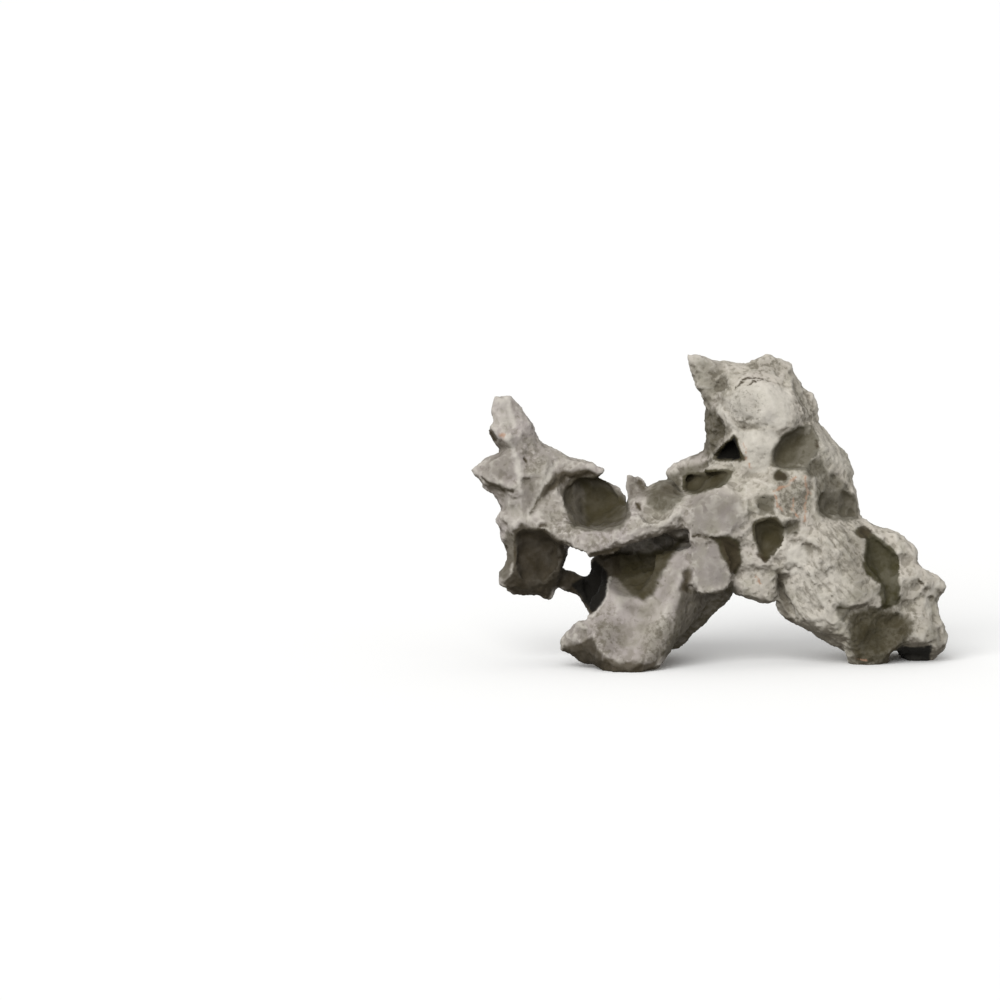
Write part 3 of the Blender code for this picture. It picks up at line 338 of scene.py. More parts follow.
frontPatches = {
    "shade": [(1, 0, "-90,91 -87.6,93.6 -83.6,88 -81.4,78 -84,75 -92,78 -98,81 -92,86"),
        (2, 0, "-50,15 -45,17 -40,10 -42,4 -47,4"), (2, 0, "-31,8 -24,12 -17,8 -16,2 -24,-3 -31,-3"),
        (3, 0, "-8,70 12,70 10,60 -8,62"), (0.8, 0, "-8,53 8,54 8,49 -8,50"),
        (1.4, 0, "97.6,31 100,32 98,27 95,22 98,14 94,18 94.6,26"), (1, 0, "94,16 100,12 100,4 95,6")],
    # painted shade under the shelf, on the lower slot's face, on the saddle and on the pillar's spike
    "thinUmberAndShade": [(1.2, 0, "-65,78.6 -52,80 -55,75 -61,72 -63,74"),
        (0.7, 0, "27,39 29.4,39.6 34,26 36,14 32,15 29,24"),
        (2, 0, "-30,77 -24,72 -14,78 -13,70 -22,68 -31,70"), (1.4, 0, "-36,79 -29,78 -30,70 -34,68")],
    # an olive tint with painted shade in the arm's recess, on the leg, round the shoulder's scoop, on the
    # slope, the tower's side and the spike
    "oliveTintAndShade": [(0.8, 0, "-79.6,77.6 -72.6,77.6 -75,68 -77.4,61 -79.2,62"),
        (3, 0, "-40,38 -34,26 -26,23 -20,32 -10,50 -9,44 -20,26 -28,18 -38,22 -43,34"),
        (3, 0, "-50,19 -45,20 -38,11 -39,3 -47,4"), (3, 0, "-27,13 -19,19 -14,15 -19,1 -27,0"),
        (1.4, 0, "45,63 46,69 50,72 58,72 62,68 66,60 58,59.6 50,61"),
        (3, 0, "56,56 66,52 66,36 74,30 64,26 56,36"), (3, 0, "27,76 43,77 42,63 28,61"),
        (2, 0, "-6,128 6,126 8,114 0,112")],
    # painted highlight on the spire, the arm, the tower's right edge and the lower slope
    "paintedHighlight": [(1.5, 0, "-90,112 -85.6,112 -83,99 -92,98"), (2, 0, "-86,70 -79,70 -78,58 -85,56"),
        (2, 0, "44,98 50,96 60,84 60,79 52,83 46,90"), (3, 0, "44,48 54,40 60,30 56,16 44,12 36,20 33,32")],
    "mottle": [(1.5, 0.1, "-80,94 -74,92 -69,86 -72,79 -79,80"),
        (1.5, 0.2, "-67,61 -59,62 -56,55 -60,52 -68,55"),
        (2.5, 0.1, "-50,20 -42,24 -37,16 -36,6 -46,2 -50,8"),
        (2.5, 0.1, "-27,16 -18,22 -12,22 -17,6 -24,-2 -30,0"), (2, 0.5, "-2,104 3,105 8,98 5,90 0,88 -2,92"),
        (1, 0.3, "35,114 42,114 46.6,101 40,99 37,104"), (1.4, 0.2, "18,127 26,129.6 34,124 24,121 14,124"),
        (1.2, 0.2, "27,76 33,79 43,76 42,64 36,60 29,62 26,70"), (2, 0.3, "78,28 86,26 90,16 84,10 78,16")],
    # painted shade under the shelf and the foot, and dark silt in the arm's slot and a pit
    "umberAndShade": [(1, 0, "-61.6,80 -60,76 -70.6,69.6 -75.4,61.6 -76,63 -70,74 -66,79"),
        (1.2, 0, "-66,79.6 -52,81.6 -47,79 -60,77"), (1.5, 0, "-46,3 -38,0.6 -26,0 -22,2 -24,-5 -46,-5"),
        (0.8, 0, "62,56 65,58 69,55 66.4,51.4 63,52.6")],
    # painted shade in and under the blob, round the hole and under the foot, with some dark silt
    "deepShadeAndSilt": [
        (0.9, 0, "-83.6,55 -79,58.4 -72,55.6 -62,51 -60,44 -62,36 -56,35 -66,31 -68,25 -80,27 -88,33 "
            "-84.6,36 -81.4,43 -82.4,49"),
        (0.9, 0, "-67,38 -60,39 -52,35 -49,44.4 -44,45.4 -38,46.6 -37,36 -42.4,36 -45.6,26 -50,20 -62,31 "
            "-68,32"),
        (1, 0, "-62,7 -54,8 -50,11 -46,4 -44,-5 -64,0")],
    # silt with painted shade left of the blob, in the basin, on the flank under the apron, in the tower's
    # recess and beside the body's scoop
    "thinSiltAndShade": [(1, 0, "-86,56 -82.6,54 -82,44 -86,34 -90,36 -88,46"),
        (0.9, 0, "-62,72 -57,77.4 -48,80 -38,72 -34,68.4 -36.4,60 -40,56.6 -50,55.8 -57,57 -61.6,64"),
        (1, 0, "12,33 3,29.6 -4,28.6 -8.6,31 -12,34 -13.6,26 -16,14 -22,2 -8,2 10,22"),
        (1.6, 0, "0,102 4,103 8,98 6,94 1,86 -3,87 0,94"), (1, 0, "30,60 34,59 38,60.6 37.4,55 33,53 30,54")],
    # silt with painted shade in the basin, the leg's cave, the rim's slot, the toe's scoop, beside the apron
    # and in the body's scoop
    "oliveUmberAndShade": [(3, 0, "-57,79 -38,72 -34,68.4 -36.4,60 -42,56.6 -54,56.6 -53,64 -54,72"),
        (2, 0, "-40,47 -28,46 -20,48 -10,53 -10.4,51 -17,43 -22,35 -24,28 -28,26 -33,27.4 -37,32 -41.4,37"),
        (1, 0, "-10.6,78.6 -4,80 5,81.6 10,80 4,74.4 -5,71 -10.4,71.6"),
        (4.4, 0, "60,18 70,20 77,14 76,2 65,2 60,10"), (1, 0.3, "1,52 7,53 12,51 13,43 11,37 8,39 4,46"),
        (0.8, 0, "18.6,58 22,61 28,60.4 30.4,57 29.6,49 25,45.6 21.6,46.6 19.4,52")],
    # painted shadow on the leg's left face and in the tower's and the heel's caves
    "paintedShadow": [(1, 0, "-52,36 -48.6,43 -42.6,38 -43.6,30 -46,24 -49.8,21 -53,25 -58,33"),
        (0.5, 0, "2.6,85.6 10.2,95.4 13.4,85.2"), (0.7, 0, "79,4 82,6.4 88,5.6 94,6.4 94,-3 84,-3 81,2")],
    "mauve": [(2, 0, "-62,12 -55,19 -50,14 -52,8 -60,6"), (1, 0, "22.6,104 25,106.4 28,103 25,100 22,101"),
        (4, 0, "-10,70 4,72 13,68 12,55 -8,52"), (3, 0, "-8,50 4,50 6,34 -8,30")],
    # silt in the tower's scoop, with painted shade under its overhang
    "dampSiltAndShade": [(3, 0, "25.4,83 26.6,89 31,95 38,98 41,97 39,90 38,83 31,81.4")],
    # olive silt, with painted shade in the tower's recess, under the rear rim, in small dimples and on the
    # saddle
    "thinOliveAndShade": [(2, 0, "-3,108 2,107 7,99 4,92 -2,88 -8,85"),
        (1.2, 0.2, "-14,82 -6,83 2,87 1,84 -4,79.4 -13,78"), (1, 0.6, "18.6,69 22,71 27,70 27,62 20,61.6"),
        (1.2, 0, "40,85 47,85.6 51,79 43,77 39.4,79"),
        (1.4, 0.2, "44,70 46,77 52,80 58,76 60,71 55,72 49,71"),
        (0.8, 0, "52.4,23 55,25 59,23 59.6,18 56,16.6 53,19"),
        (1.6, 0, "-24,76 -12,81 -11,68 -20,62 -27,66")],
    # pale stone with a painted highlight on the dome and the facets that face the light
    "paleAndHighlight": [(2, 0, "10,114 20,118 34,115 34.6,106 32,99 20,99 10,103 6,108"),
        (1.4, 0, "11.4,97 26,98 29,94 25,86 24,80 16,80 14.8,86"), (2, 0, "32,50 38,51 42,44 38,36 31,38")],
    "smooth": [(3, 0, "-46,34 -40,36 -24,26 -12,50 -12,20 -26,0 -46,4 -50,14"),
        (3, 0, "-8,72 12,70 12,56 -8,54"), (2, 0, "-7,49 5,49 7,34 3,31 -6,31")],
    "halfSmooth": [(2, 0, "-92,112 -82,112 -72,90 -66,84 -66,60 -84,56 -92,74 -100,82"),
        (3, 0, "18,117 36,115 36,100 28,82 16,82 14,98")],
    "wrinkled": [(2, 0, "5,110 12,115 20,117 24,108 20,99 11,100 6,105")],
    "streaked": [(3, 0, "42,58 62,57 66,42 72,32 62,26 52,22 36,14 34,34 42,46")],
    "olive": [(0.9, 0, "66.6,56 77.4,47.4 80.6,42.5 79.2,35.3 81,30 80,24 73,22 71.6,29 71,33 65,37 64,42")],
    "silt": [(3, 0, "58,20 64,23 72,23 80,21 87,17 84,8 78,4 74,-2 61,-2 58,8")],
    "shadow": [(4, 0, "61,15 68,17 74,12 72,4 66,3 61,8")],
    "faintOlive": [(3, 0, "84,40 96,31 98,24 97,8 84,9 82,26"), (2, 0, "14,126 24,130 35,124 30,120 18,121"),
        (2.5, 0, "9,113 18,115 22,108 16,100 9,104"), (1.4, 0, "-9,128 -2,123 1,114 -1,101 -4,110")],
}

# What each kind of mark leaves on the stone. A kind that isn't here leaves itself.
markKinds = {
    # painted shade and shadow, with some silt
    "deepShadeAndSilt": {"umberAndShade": 1, "paintedShadow": 0.35},
    "shadow": {"paintedShadow": 0.3},
    # painted shadow, black deep in caves
    "paintedShadow": {"umberAndShade": 0.4, "paintedShadow": 1},
    # olive and umber silt, with painted shade
    "oliveUmberAndShade": {"olive": 1, "umberAndShade": 0.5},
    # umber silt, with painted shade
    "thinUmberAndShade": {"umberAndShade": 0.6},
    # olive silt, with painted shade
    "thinOliveAndShade": {"olive": 0.62, "umberAndShade": 0.3},
    # olive and umber silt, with painted shade
    "thinSiltAndShade": {"olive": 0.6, "umberAndShade": 0.4},
    # silt with painted shade
    "dampSiltAndShade": {"olive": 0.82, "umberAndShade": 0.45},
    "halfSmooth": {"smooth": 0.4},
    "shade": {"umberAndShade": 0.35},
    "silt": {"olive": 0.8, "umberAndShade": 0.5, "mottle": 1},
    "faintOlive": {"olive": 0.3},
    # an olive tint with painted shade
    "oliveTintAndShade": {"olive": 0.35, "umberAndShade": 0.2},
    # a painted highlight
    "paintedHighlight": {"paleAndHighlight": 0.5},
    "pitted": {"mottle": 1, "wrinkled": 0.5},
}

# What a user would change on the stone, for a rougher, smoother or more eaten one. A relief is given as its
# size and height.
stoneSettings = {
    "middle": (0.6, -2.0),  # middle of the footprint, which becomes the origin
    "growth": 0.6,          # added to every ball of a lump
    "lumpVoxel": 1.4,       # skin over the bare lumps
    "hollowVoxel": 1.1,     # skin over the hollows' cutter
    "skinVoxel": 0.7,       # skin of the finished stone
    "planes": 4500,         # flat breaks that the stone is cut to before the skin is laid
    "triangles": 190000,
    "swell": (26.0, 2.2),   # slow swells
    "scallop": (9.0, 1.3),  # cusped scallops
    "ragged": {"Broad": (7.0, 2.0), "Fine": (2.6, 1.0)},  # what frays the rims and walls of the hollows
    # Fine relief: texture kind, size, height, middle, the weight group that holds it, and the noise.
    "skin": {
        "facets": ("CLOUDS", 6.5, -1.5, 0.35, "roughSkin", "HARD_NOISE"),
        "cusps": ("VORONOI", 4.4, 0.4, 0.45, "roughSkin", None),
        "crumb": ("CLOUDS", 2.2, -0.6, 0.35, "roughSkin", "HARD_NOISE"),
        "pocks": ("CLOUDS", 2.6, 0.5, 1.0, "clumps", "SOFT_NOISE"),
        "rills": ("CLOUDS", 1.5, 0.6, 0.5, "streaked", "SOFT_NOISE"),
        "knots": ("CLOUDS", 1.9, -0.6, 0.35, "mottle", "HARD_NOISE"),
    },
    "pockEdge": (0.2, 0.34),   # cloud values of a pit's floor and of its rim
    "clumpSize": 14.0,         # patches that the pits keep to, and how sharply they end
    "clumpEdge": (-0.1, 0.3),
    "rillTurn": -40.0,         # slope of the rills, and how much longer than wide they are
    "rillStretch": 3.2,
    "calmRounds": 24,          # how far the smooth places are levelled
    "hollowCalm": 0.5,         # share of the roughness that the hollows and the smooth places lose
    "smoothCalm": 0.8,
    "wander": {4.0: 0.9, 1.4: 0.5},  # sizes and reaches of the waver in every edge of a stain
    "hollowPaintReach": 1.2,         # how far past a hollow's wall its stain and painted shade come, and how far that wavers
    "hollowPaintWaver": 0.5,
    "strokeSoftness": 1.5,     # a stroke fades out at this many times its radius
    "edgeRelief": (3, 1.6),    # rounds of levelling that show the edges, and their strength; from them come painted shade in creases and painted highlights on crests
    "cupRelief": (25, 0.5),    # the same for the cups, which take painted shade
    "underFade": (0.1, 0.85),  # how far a face looks down where its painted shade starts and is full
    "underWaver": 0.15,
}


def makeActive(obj):
    bpy.ops.object.select_all(action="DESELECT")
    obj.select_set(True)
    bpy.context.view_layer.objects.active = obj


def rows(text):
    # "1,2 3,4" as [(1.0, 2.0), (3.0, 4.0)]
    return [tuple(map(float, row.split(","))) for row in text.split()]


def hullGroup(name, groups, growth=0.0):
    # one object with a closed hull for each named group of balls, each hull hidden while the next is made
    bpy.ops.object.select_all(action="DESELECT")
    bpy.ops.object.add(type="MESH")
    obj = bpy.context.object
    obj.name = name
    bpy.ops.object.mode_set(mode="EDIT")
    midX, midY = stoneSettings["middle"]
    for balls in groups.values():
        for x, y, z, radius in balls:
            place = ((x - midX) * mm, (y - midY) * mm, z * mm)
            size = (radius + growth) * mm
            bpy.ops.mesh.primitive_ico_sphere_add(subdivisions=3, radius=size, location=place)
        bpy.ops.mesh.select_all(action="SELECT")
        bpy.ops.mesh.convex_hull(join_triangles=False)
        bpy.ops.mesh.normals_make_consistent(inside=False)
        bpy.ops.mesh.hide(unselected=False)
    bpy.ops.mesh.reveal()
    bpy.ops.object.mode_set(mode="OBJECT")
    return obj


def finishWith(obj, kind, **settings):
    # adds a modifier and applies it at once
    makeActive(obj)
    modifier = obj.modifiers.new(kind.lower(), kind)
    for name, value in settings.items():
        setattr(modifier, name, value)
    bpy.ops.object.modifier_apply(modifier=modifier.name)


def reliefTexture(name, kind, size, **settings):
    texture = bpy.data.textures.new(name, kind)
    texture.noise_scale = size * mm
    for setting, value in settings.items():
        setattr(texture, setting, value)
    return texture


def displace(obj, texture, height, middle, **settings):
    # pushes the skin out where the texture is above its middle, and in where it is below
    settings = {"texture_coords": "LOCAL", **settings}
    finishWith(obj, "DISPLACE", texture=texture, strength=height * mm, mid_level=middle, **settings)


def sightAxes(turn, lift):
    a, e = radians(turn), radians(lift)
    across = Vector((cos(a), sin(a), 0))
    towards = Vector((sin(a) * cos(e), -cos(a) * cos(e), sin(e)))
    return across, towards.cross(across), towards


def placedScoops(stone):
    # every scoop as balls in space, found on the present skin of the stone
    skin = BVHTree.FromObject(stone, bpy.context.evaluated_depsgraph_get())
    middle = Vector((*stoneSettings["middle"], 0))
    farOff = 500  # well outside the stone
    placed = {}
    for sight, group in stoneScoops.items():
        right, upward, towards = sightAxes(*sight)
        for name, marks in group.items():
            balls = []
            for across, up, radius, depth in rows(marks):
                eye = right * across + upward * up + towards * farOff - middle
                met = skin.ray_cast(eye * mm, -towards)[0] / mm + middle
                balls.append((*(met + towards * (radius - depth)), radius))
                if depth > radius:
                    balls.append((*(met + towards * radius), radius))
            placed[name] = balls
    return placed


def shapeStone():
    lumps = {name: rows(balls) for name, balls in stoneLumps.items()}
    stone = hullGroup("tsingyStone", lumps, stoneSettings["growth"])
    finishWith(stone, "REMESH", mode="VOXEL", voxel_size=stoneSettings["lumpVoxel"] * mm)
    size, height = stoneSettings["swell"]
    displace(stone, reliefTexture("swells", "CLOUDS", size), height, 0.5)
    print("stone: lumps joined,", len(stone.data.vertices), "points")

    hollows = {name: rows(balls) for name, balls in stoneHollows.items()}
    hollows.update(placedScoops(stone))
    cutters = {}
    kindOf = {name: kind for kind, names in hollowStainsAndShade.items() for name in names}
    for kind in ("bare", *hollowStainsAndShade):
        chosen = {name: balls for name, balls in hollows.items() if kindOf.get(name, "bare") == kind}
        cutters[kind] = hullGroup(kind + "Hollows", chosen)
        finishWith(cutters[kind], "REMESH", mode="VOXEL", voxel_size=stoneSettings["hollowVoxel"] * mm)
        for name, (size, height) in stoneSettings["ragged"].items():
            rim = reliefTexture(kind + name, "CLOUDS", size, noise_type="HARD_NOISE", noise_depth=2)
            displace(cutters[kind], rim, height, 0.4)
    bpy.context.view_layer.update()
    graph = bpy.context.evaluated_depsgraph_get()
    hollowSkins = {kind: BVHTree.FromObject(cutter, graph) for kind, cutter in cutters.items()}
    makeActive(cutters["bare"])
    for cutter in cutters.values():
        cutter.select_set(True)
    bpy.ops.object.join()
    cutter = bpy.context.object
    finishWith(cutter, "REMESH", mode="VOXEL", voxel_size=stoneSettings["hollowVoxel"] * mm)
    finishWith(stone, "BOOLEAN", operation="DIFFERENCE", solver="MANIFOLD", object=cutter)
    bpy.data.objects.remove(cutter, do_unlink=True)
    print("stone: hollows cut,", len(stone.data.vertices), "points")

    share = stoneSettings["planes"] / (2 * len(stone.data.polygons))
    finishWith(stone, "DECIMATE", ratio=share, use_collapse_triangulate=True)
    finishWith(stone, "REMESH", mode="VOXEL", voxel_size=stoneSettings["skinVoxel"] * mm)
    size, height = stoneSettings["scallop"]
    displace(stone, reliefTexture("scallops", "VORONOI", size), height, 0.5)
    print("stone: scallops,", len(stone.data.vertices), "points")
    return stone, hollowSkins


def readArray(items, field, width, kind=np.float32):
    values = np.empty(len(items) * width, kind)
    items.foreach_get(field, values)
    return values.reshape(-1, width)


def pointArrays(obj):
    return readArray(obj.data.vertices, "co", 3), readArray(obj.data.vertex_normals, "vector", 3)


def softStep(low, high, values):
    t = np.clip((values - low) / (high - low), 0, 1)
    return t * t * (3 - 2 * t)


def waver(points, size):
    # a smooth random direction at each point
    return np.array([noise.noise_vector(Vector(point) / (size * mm)) for point in points])


def edgeWavers(points):
    # what bends the edges of the stains and painted shade, so that none is drawn with a compass
    return sum(reach * waver(points, size) for size, reach in stoneSettings["wander"].items())


def stainAndShadeShares(points, wavers, hollowSkins):
    # how much of each hollow's stain and painted shade every point has, from its distance to that hollow's
    # wall
    searched = 3.2  # the stain ends well within this distance
    fade = (0.5, -0.7)
    shared = 0.3  # a point this much nearer to another hollow still takes the stain
    distances = {}
    for kind, skin in hollowSkins.items():
        away = np.full(len(points), 9.0)
        for index, point in enumerate(points):
            distance = skin.find_nearest(point, searched * mm)[3]
            if distance is not None:
                away[index] = distance / mm
        distances[kind] = away
    nearest = np.minimum.reduce(list(distances.values()))
    edge = stoneSettings["hollowPaintReach"] + stoneSettings["hollowPaintWaver"] * wavers[:, 0]
    channels = dict.fromkeys(("olive", "umberAndShade", "paintedShadow"), 0)
    smooth = 0
    for kind, away in distances.items():
        share = softStep(edge + fade[0], edge + fade[1], away) * (away <= nearest + shared)
        for channel, amount in zip(channels, stainAndShadeKinds[kind]):
            channels[channel] = np.maximum(channels[channel], share * amount)
        if kind not in ("bare", "faint"):
            smooth = np.maximum(smooth, share)
    return channels, smooth


def ringAverage(values, edges, times):
    # each point takes the mean of its neighbours, again and again
    count = len(values)
    degree = np.bincount(edges.ravel(), minlength=count)[:, None]
    for _ in range(times):
        total = np.zeros_like(values)
        for column in range(values.shape[1]):
            total[:, column] = np.bincount(edges[:, 0], values[edges[:, 1], column], count)
            total[:, column] += np.bincount(edges[:, 1], values[edges[:, 0], column], count)
        values = total / degree
    return values


def seenFromFront(obj, points, normals):
    # 1 where a look at the front meets the point first, and a little way round each edge from there
    skin = BVHTree.FromObject(obj, bpy.context.evaluated_depsgraph_get())
    towards = sightAxes(*frontSight)[2]
    grazing, lift = 0.03, 0.4  # least facing that counts, and millimetres that the look starts off the skin
    wrapRounds, wrapShare, softRounds = 5, 0.04, 2
    seen = np.zeros((len(points), 1))
    for index in np.flatnonzero(normals @ np.array(towards) > grazing):
        start = Vector(points[index]) + Vector(normals[index]) * lift * mm
        if skin.ray_cast(start, towards)[0] is None:
            seen[index] = 1
    edges = readArray(obj.data.edges, "vertices", 2, np.int32)
    wrapped = ringAverage(seen, edges, wrapRounds) > wrapShare
    return ringAverage(wrapped.astype(float), edges, softRounds)[:, 0]


def awayFrom(flat, path):
    # distance of each place from a path
    away = np.full(len(flat), 1e3)
    for start, end in zip(path, path[1:]):
        along = np.array(end, float) - start
        share = np.clip((flat - start) @ along / (along @ along), 0, 1)
        away = np.minimum(away, np.linalg.norm(flat - start - share[:, None] * along, axis=1))
    return away


def outside(flat, outline):
    # 1 outside a closed outline and -1 within it
    within = np.zeros(len(flat), bool)
    for (x1, y1), (x2, y2) in zip(outline, [*outline[1:], outline[0]]):
        if y1 != y2:
            crossed = (y1 > flat[:, 1]) != (y2 > flat[:, 1])
            within ^= crossed & (flat[:, 0] < (x2 - x1) * (flat[:, 1] - y1) / (y2 - y1) + x1)
    return np.where(within, -1, 1)


def frontMarks(flat):
    # each mark's kind, its depth and how strong it is at every place
    for kind, strokes in frontStrokes.items():
        for radius, depth, path in strokes:
            away = awayFrom(flat, rows(path))
            yield kind, depth, softStep(radius * stoneSettings["strokeSoftness"], 0, away)
    for kind, patches in frontPatches.items():
        for soft, depth, path in patches:
            outline = rows(path)
            away = awayFrom(flat, [*outline, outline[0]]) * outside(flat, outline)
            yield kind, depth, softStep(soft, -soft, away)


def markShares(points, wavers, seen):
    # the channels that the marks on the front leave, and how far they push the skin in
    right, upward, _ = sightAxes(*frontSight)
    places = points / mm + np.array([*stoneSettings["middle"], 0])
    flat = np.stack([places @ np.array(right), places @ np.array(upward)], 1) + wavers[:, :2]
    channels = {}
    push = np.zeros(len(points))
    for kind, depth, strength in frontMarks(flat):
        strength = strength * seen
        push += strength * depth
        for channel, amount in markKinds.get(kind, {kind: 1}).items():
            channels[channel] = np.maximum(channels.get(channel, 0), strength * amount)
    return channels, push


def weightGroup(obj, name, weights):
    levels = 20
    group = obj.vertex_groups.new(name=name)
    steps = np.round(np.clip(weights, 0, 1) * levels).astype(int)
    for step in range(1, levels + 1):
        group.add(np.flatnonzero(steps == step).tolist(), step / levels, "REPLACE")


def roughenStone(stone, hollowSkins):
    points, normals = pointArrays(stone)
    wavers = edgeWavers(points)
    _, smooth = stainAndShadeShares(points, wavers, hollowSkins)
    seen = seenFromFront(stone, points, normals)
    marks, push = markShares(points, wavers, seen)
    edges = readArray(stone.data.edges, "vertices", 2, np.int32)
    calm = ringAverage(points.astype(float), edges, stoneSettings["calmRounds"]) - points
    points += calm * marks["smooth"][:, None] - normals * (push * mm)[:, None]
    stone.data.vertices.foreach_set("co", points.ravel())
    stone.data.update()
    skin = (1 - stoneSettings["hollowCalm"] * smooth) * (1 - stoneSettings["smoothCalm"] * marks["smooth"])
    clumps = softStep(*stoneSettings["clumpEdge"], waver(points, stoneSettings["clumpSize"])[:, 1])
    weightGroup(stone, "roughSkin", skin)
    weightGroup(stone, "clumps", skin * clumps)
    for name in ("streaked", "mottle"):
        weightGroup(stone, name, skin * marks[name])
    print("stone: marks cut and weights painted")

    bpy.ops.object.empty_add(rotation=(0, radians(stoneSettings["rillTurn"]), 0))
    slant = bpy.context.object
    slant.scale = (1, 1, stoneSettings["rillStretch"])
    bpy.context.view_layer.update()
    for name, (kind, size, height, middle, group, creases) in stoneSettings["skin"].items():
        texture = reliefTexture(name, kind, size)
        if creases:
            texture.noise_type = creases
        place = {}
        if name == "pocks":
            texture.use_color_ramp = True
            for level, position in enumerate(stoneSettings["pockEdge"]):
                texture.color_ramp.elements[level].position = position
                texture.color_ramp.elements[level].color = (level, level, level, 1)
        if name == "rills":
            place = {"texture_coords": "OBJECT", "texture_coords_object": slant}
        displace(stone, texture, height, middle, vertex_group=group, **place)
    bpy.data.objects.remove(slant)

    # the feet are levelled where the stone rests, then the faces that lie flat are thinned
    makeActive(stone)
    bpy.ops.object.mode_set(mode="EDIT")
    bpy.ops.mesh.select_all(action="SELECT")
    bpy.ops.mesh.bisect(plane_co=(0, 0, 0), plane_no=(0, 0, 1), use_fill=True, clear_inner=True)
    bpy.ops.mesh.select_all(action="SELECT")
    bpy.ops.mesh.quads_convert_to_tris()
    bpy.ops.object.mode_set(mode="OBJECT")
    stone.vertex_groups.clear()
    share = min(1.0, stoneSettings["triangles"] / len(stone.data.polygons))
    finishWith(stone, "DECIMATE", ratio=share, use_collapse_triangulate=True)
    bpy.ops.object.shade_smooth()
    print("stone: finished with", len(stone.data.polygons), "triangles")


# Four shares to each colour layer on the stone's points.
stoneLayers = {
    # olive silt, umber silt with painted shade, painted shadow in caves, and painted shade on faces that look
    # down
    "stainsAndShade": ("olive", "umberAndShade", "paintedShadow", "below"),
    "relief": ("edge", "cup", "rust", "paleAndHighlight"),
    "zones": ("mottle", "wrinkled", "streaked", "mauve"),
}


def storeStainsAndShade(stone, hollowSkins):
    # everything that the material reads off the stone, stored on its points
    points, normals = pointArrays(stone)
    wavers = edgeWavers(points)
    channels, _ = stainAndShadeShares(points, wavers, hollowSkins)
    marks, _ = markShares(points, wavers, seenFromFront(stone, points, normals))
    del marks["smooth"]
    for channel, amount in marks.items():
        channels[channel] = np.maximum(channels.get(channel, 0), amount)
    edges = readArray(stone.data.edges, "vertices", 2, np.int32)
    rough = points.astype(float)
    # how far each point stands out from its levelled neighbours, at two sizes, for painted shade in cups and
    # creases and painted highlights on crests
    for channel in ("edge", "cup"):
        rounds, strength = stoneSettings[channel + "Relief"]
        level = ringAverage(rough, edges, rounds)
        channels[channel] = 0.5 + ((rough - level) * normals).sum(1) / mm * strength
        rough = level
    # painted shade on faces that look down
    down = stoneSettings["underWaver"] * wavers[:, 1] - normals[:, 2]
    channels["below"] = softStep(*stoneSettings["underFade"], down)
    for name, parts in stoneLayers.items():
        layer = stone.data.attributes.new(name, "FLOAT_COLOR", "POINT")
        values = np.clip(np.stack([channels[part] for part in parts], 1), 0, 1)
        layer.data.foreach_set("color", values.astype(np.float32).ravel())
    print("stone: stains and relief stored")


stone, hollowSkins = shapeStone()
roughenStone(stone, hollowSkins)
storeStainsAndShade(stone, hollowSkins)


def hexColour(text):
    # sRGB hex to the linear values that the shader takes
    channels = [int(text[i:i + 2], 16) / 255 for i in (1, 3, 5)]
    return (*[c / 12.92 if c <= 0.04045 else ((c + 0.055) / 1.055) ** 2.4 for c in channels], 1)


def startMaterial(name, values):
    # a new material whose shader has these values on its sockets
    material = bpy.data.materials.new(name)
    material.use_nodes = True
    shader = material.node_tree.nodes["Principled BSDF"]
    for socket, value in values.items():
        shader.inputs[socket].default_value = value
    return material, material.node_tree, shader


def addNode(tree, kind, inputs, **settings):
    # adds a node: a number or colour is set on its socket, and another node's socket is linked to it
    node = tree.nodes.new("ShaderNode" + kind)
    for name, value in settings.items():
        setattr(node, name, value)
    for name, value in inputs.items():
        if isinstance(value, bpy.types.NodeSocket):
            tree.links.new(value, node.inputs[name])
        else:
            node.inputs[name].default_value = value
    return node.outputs


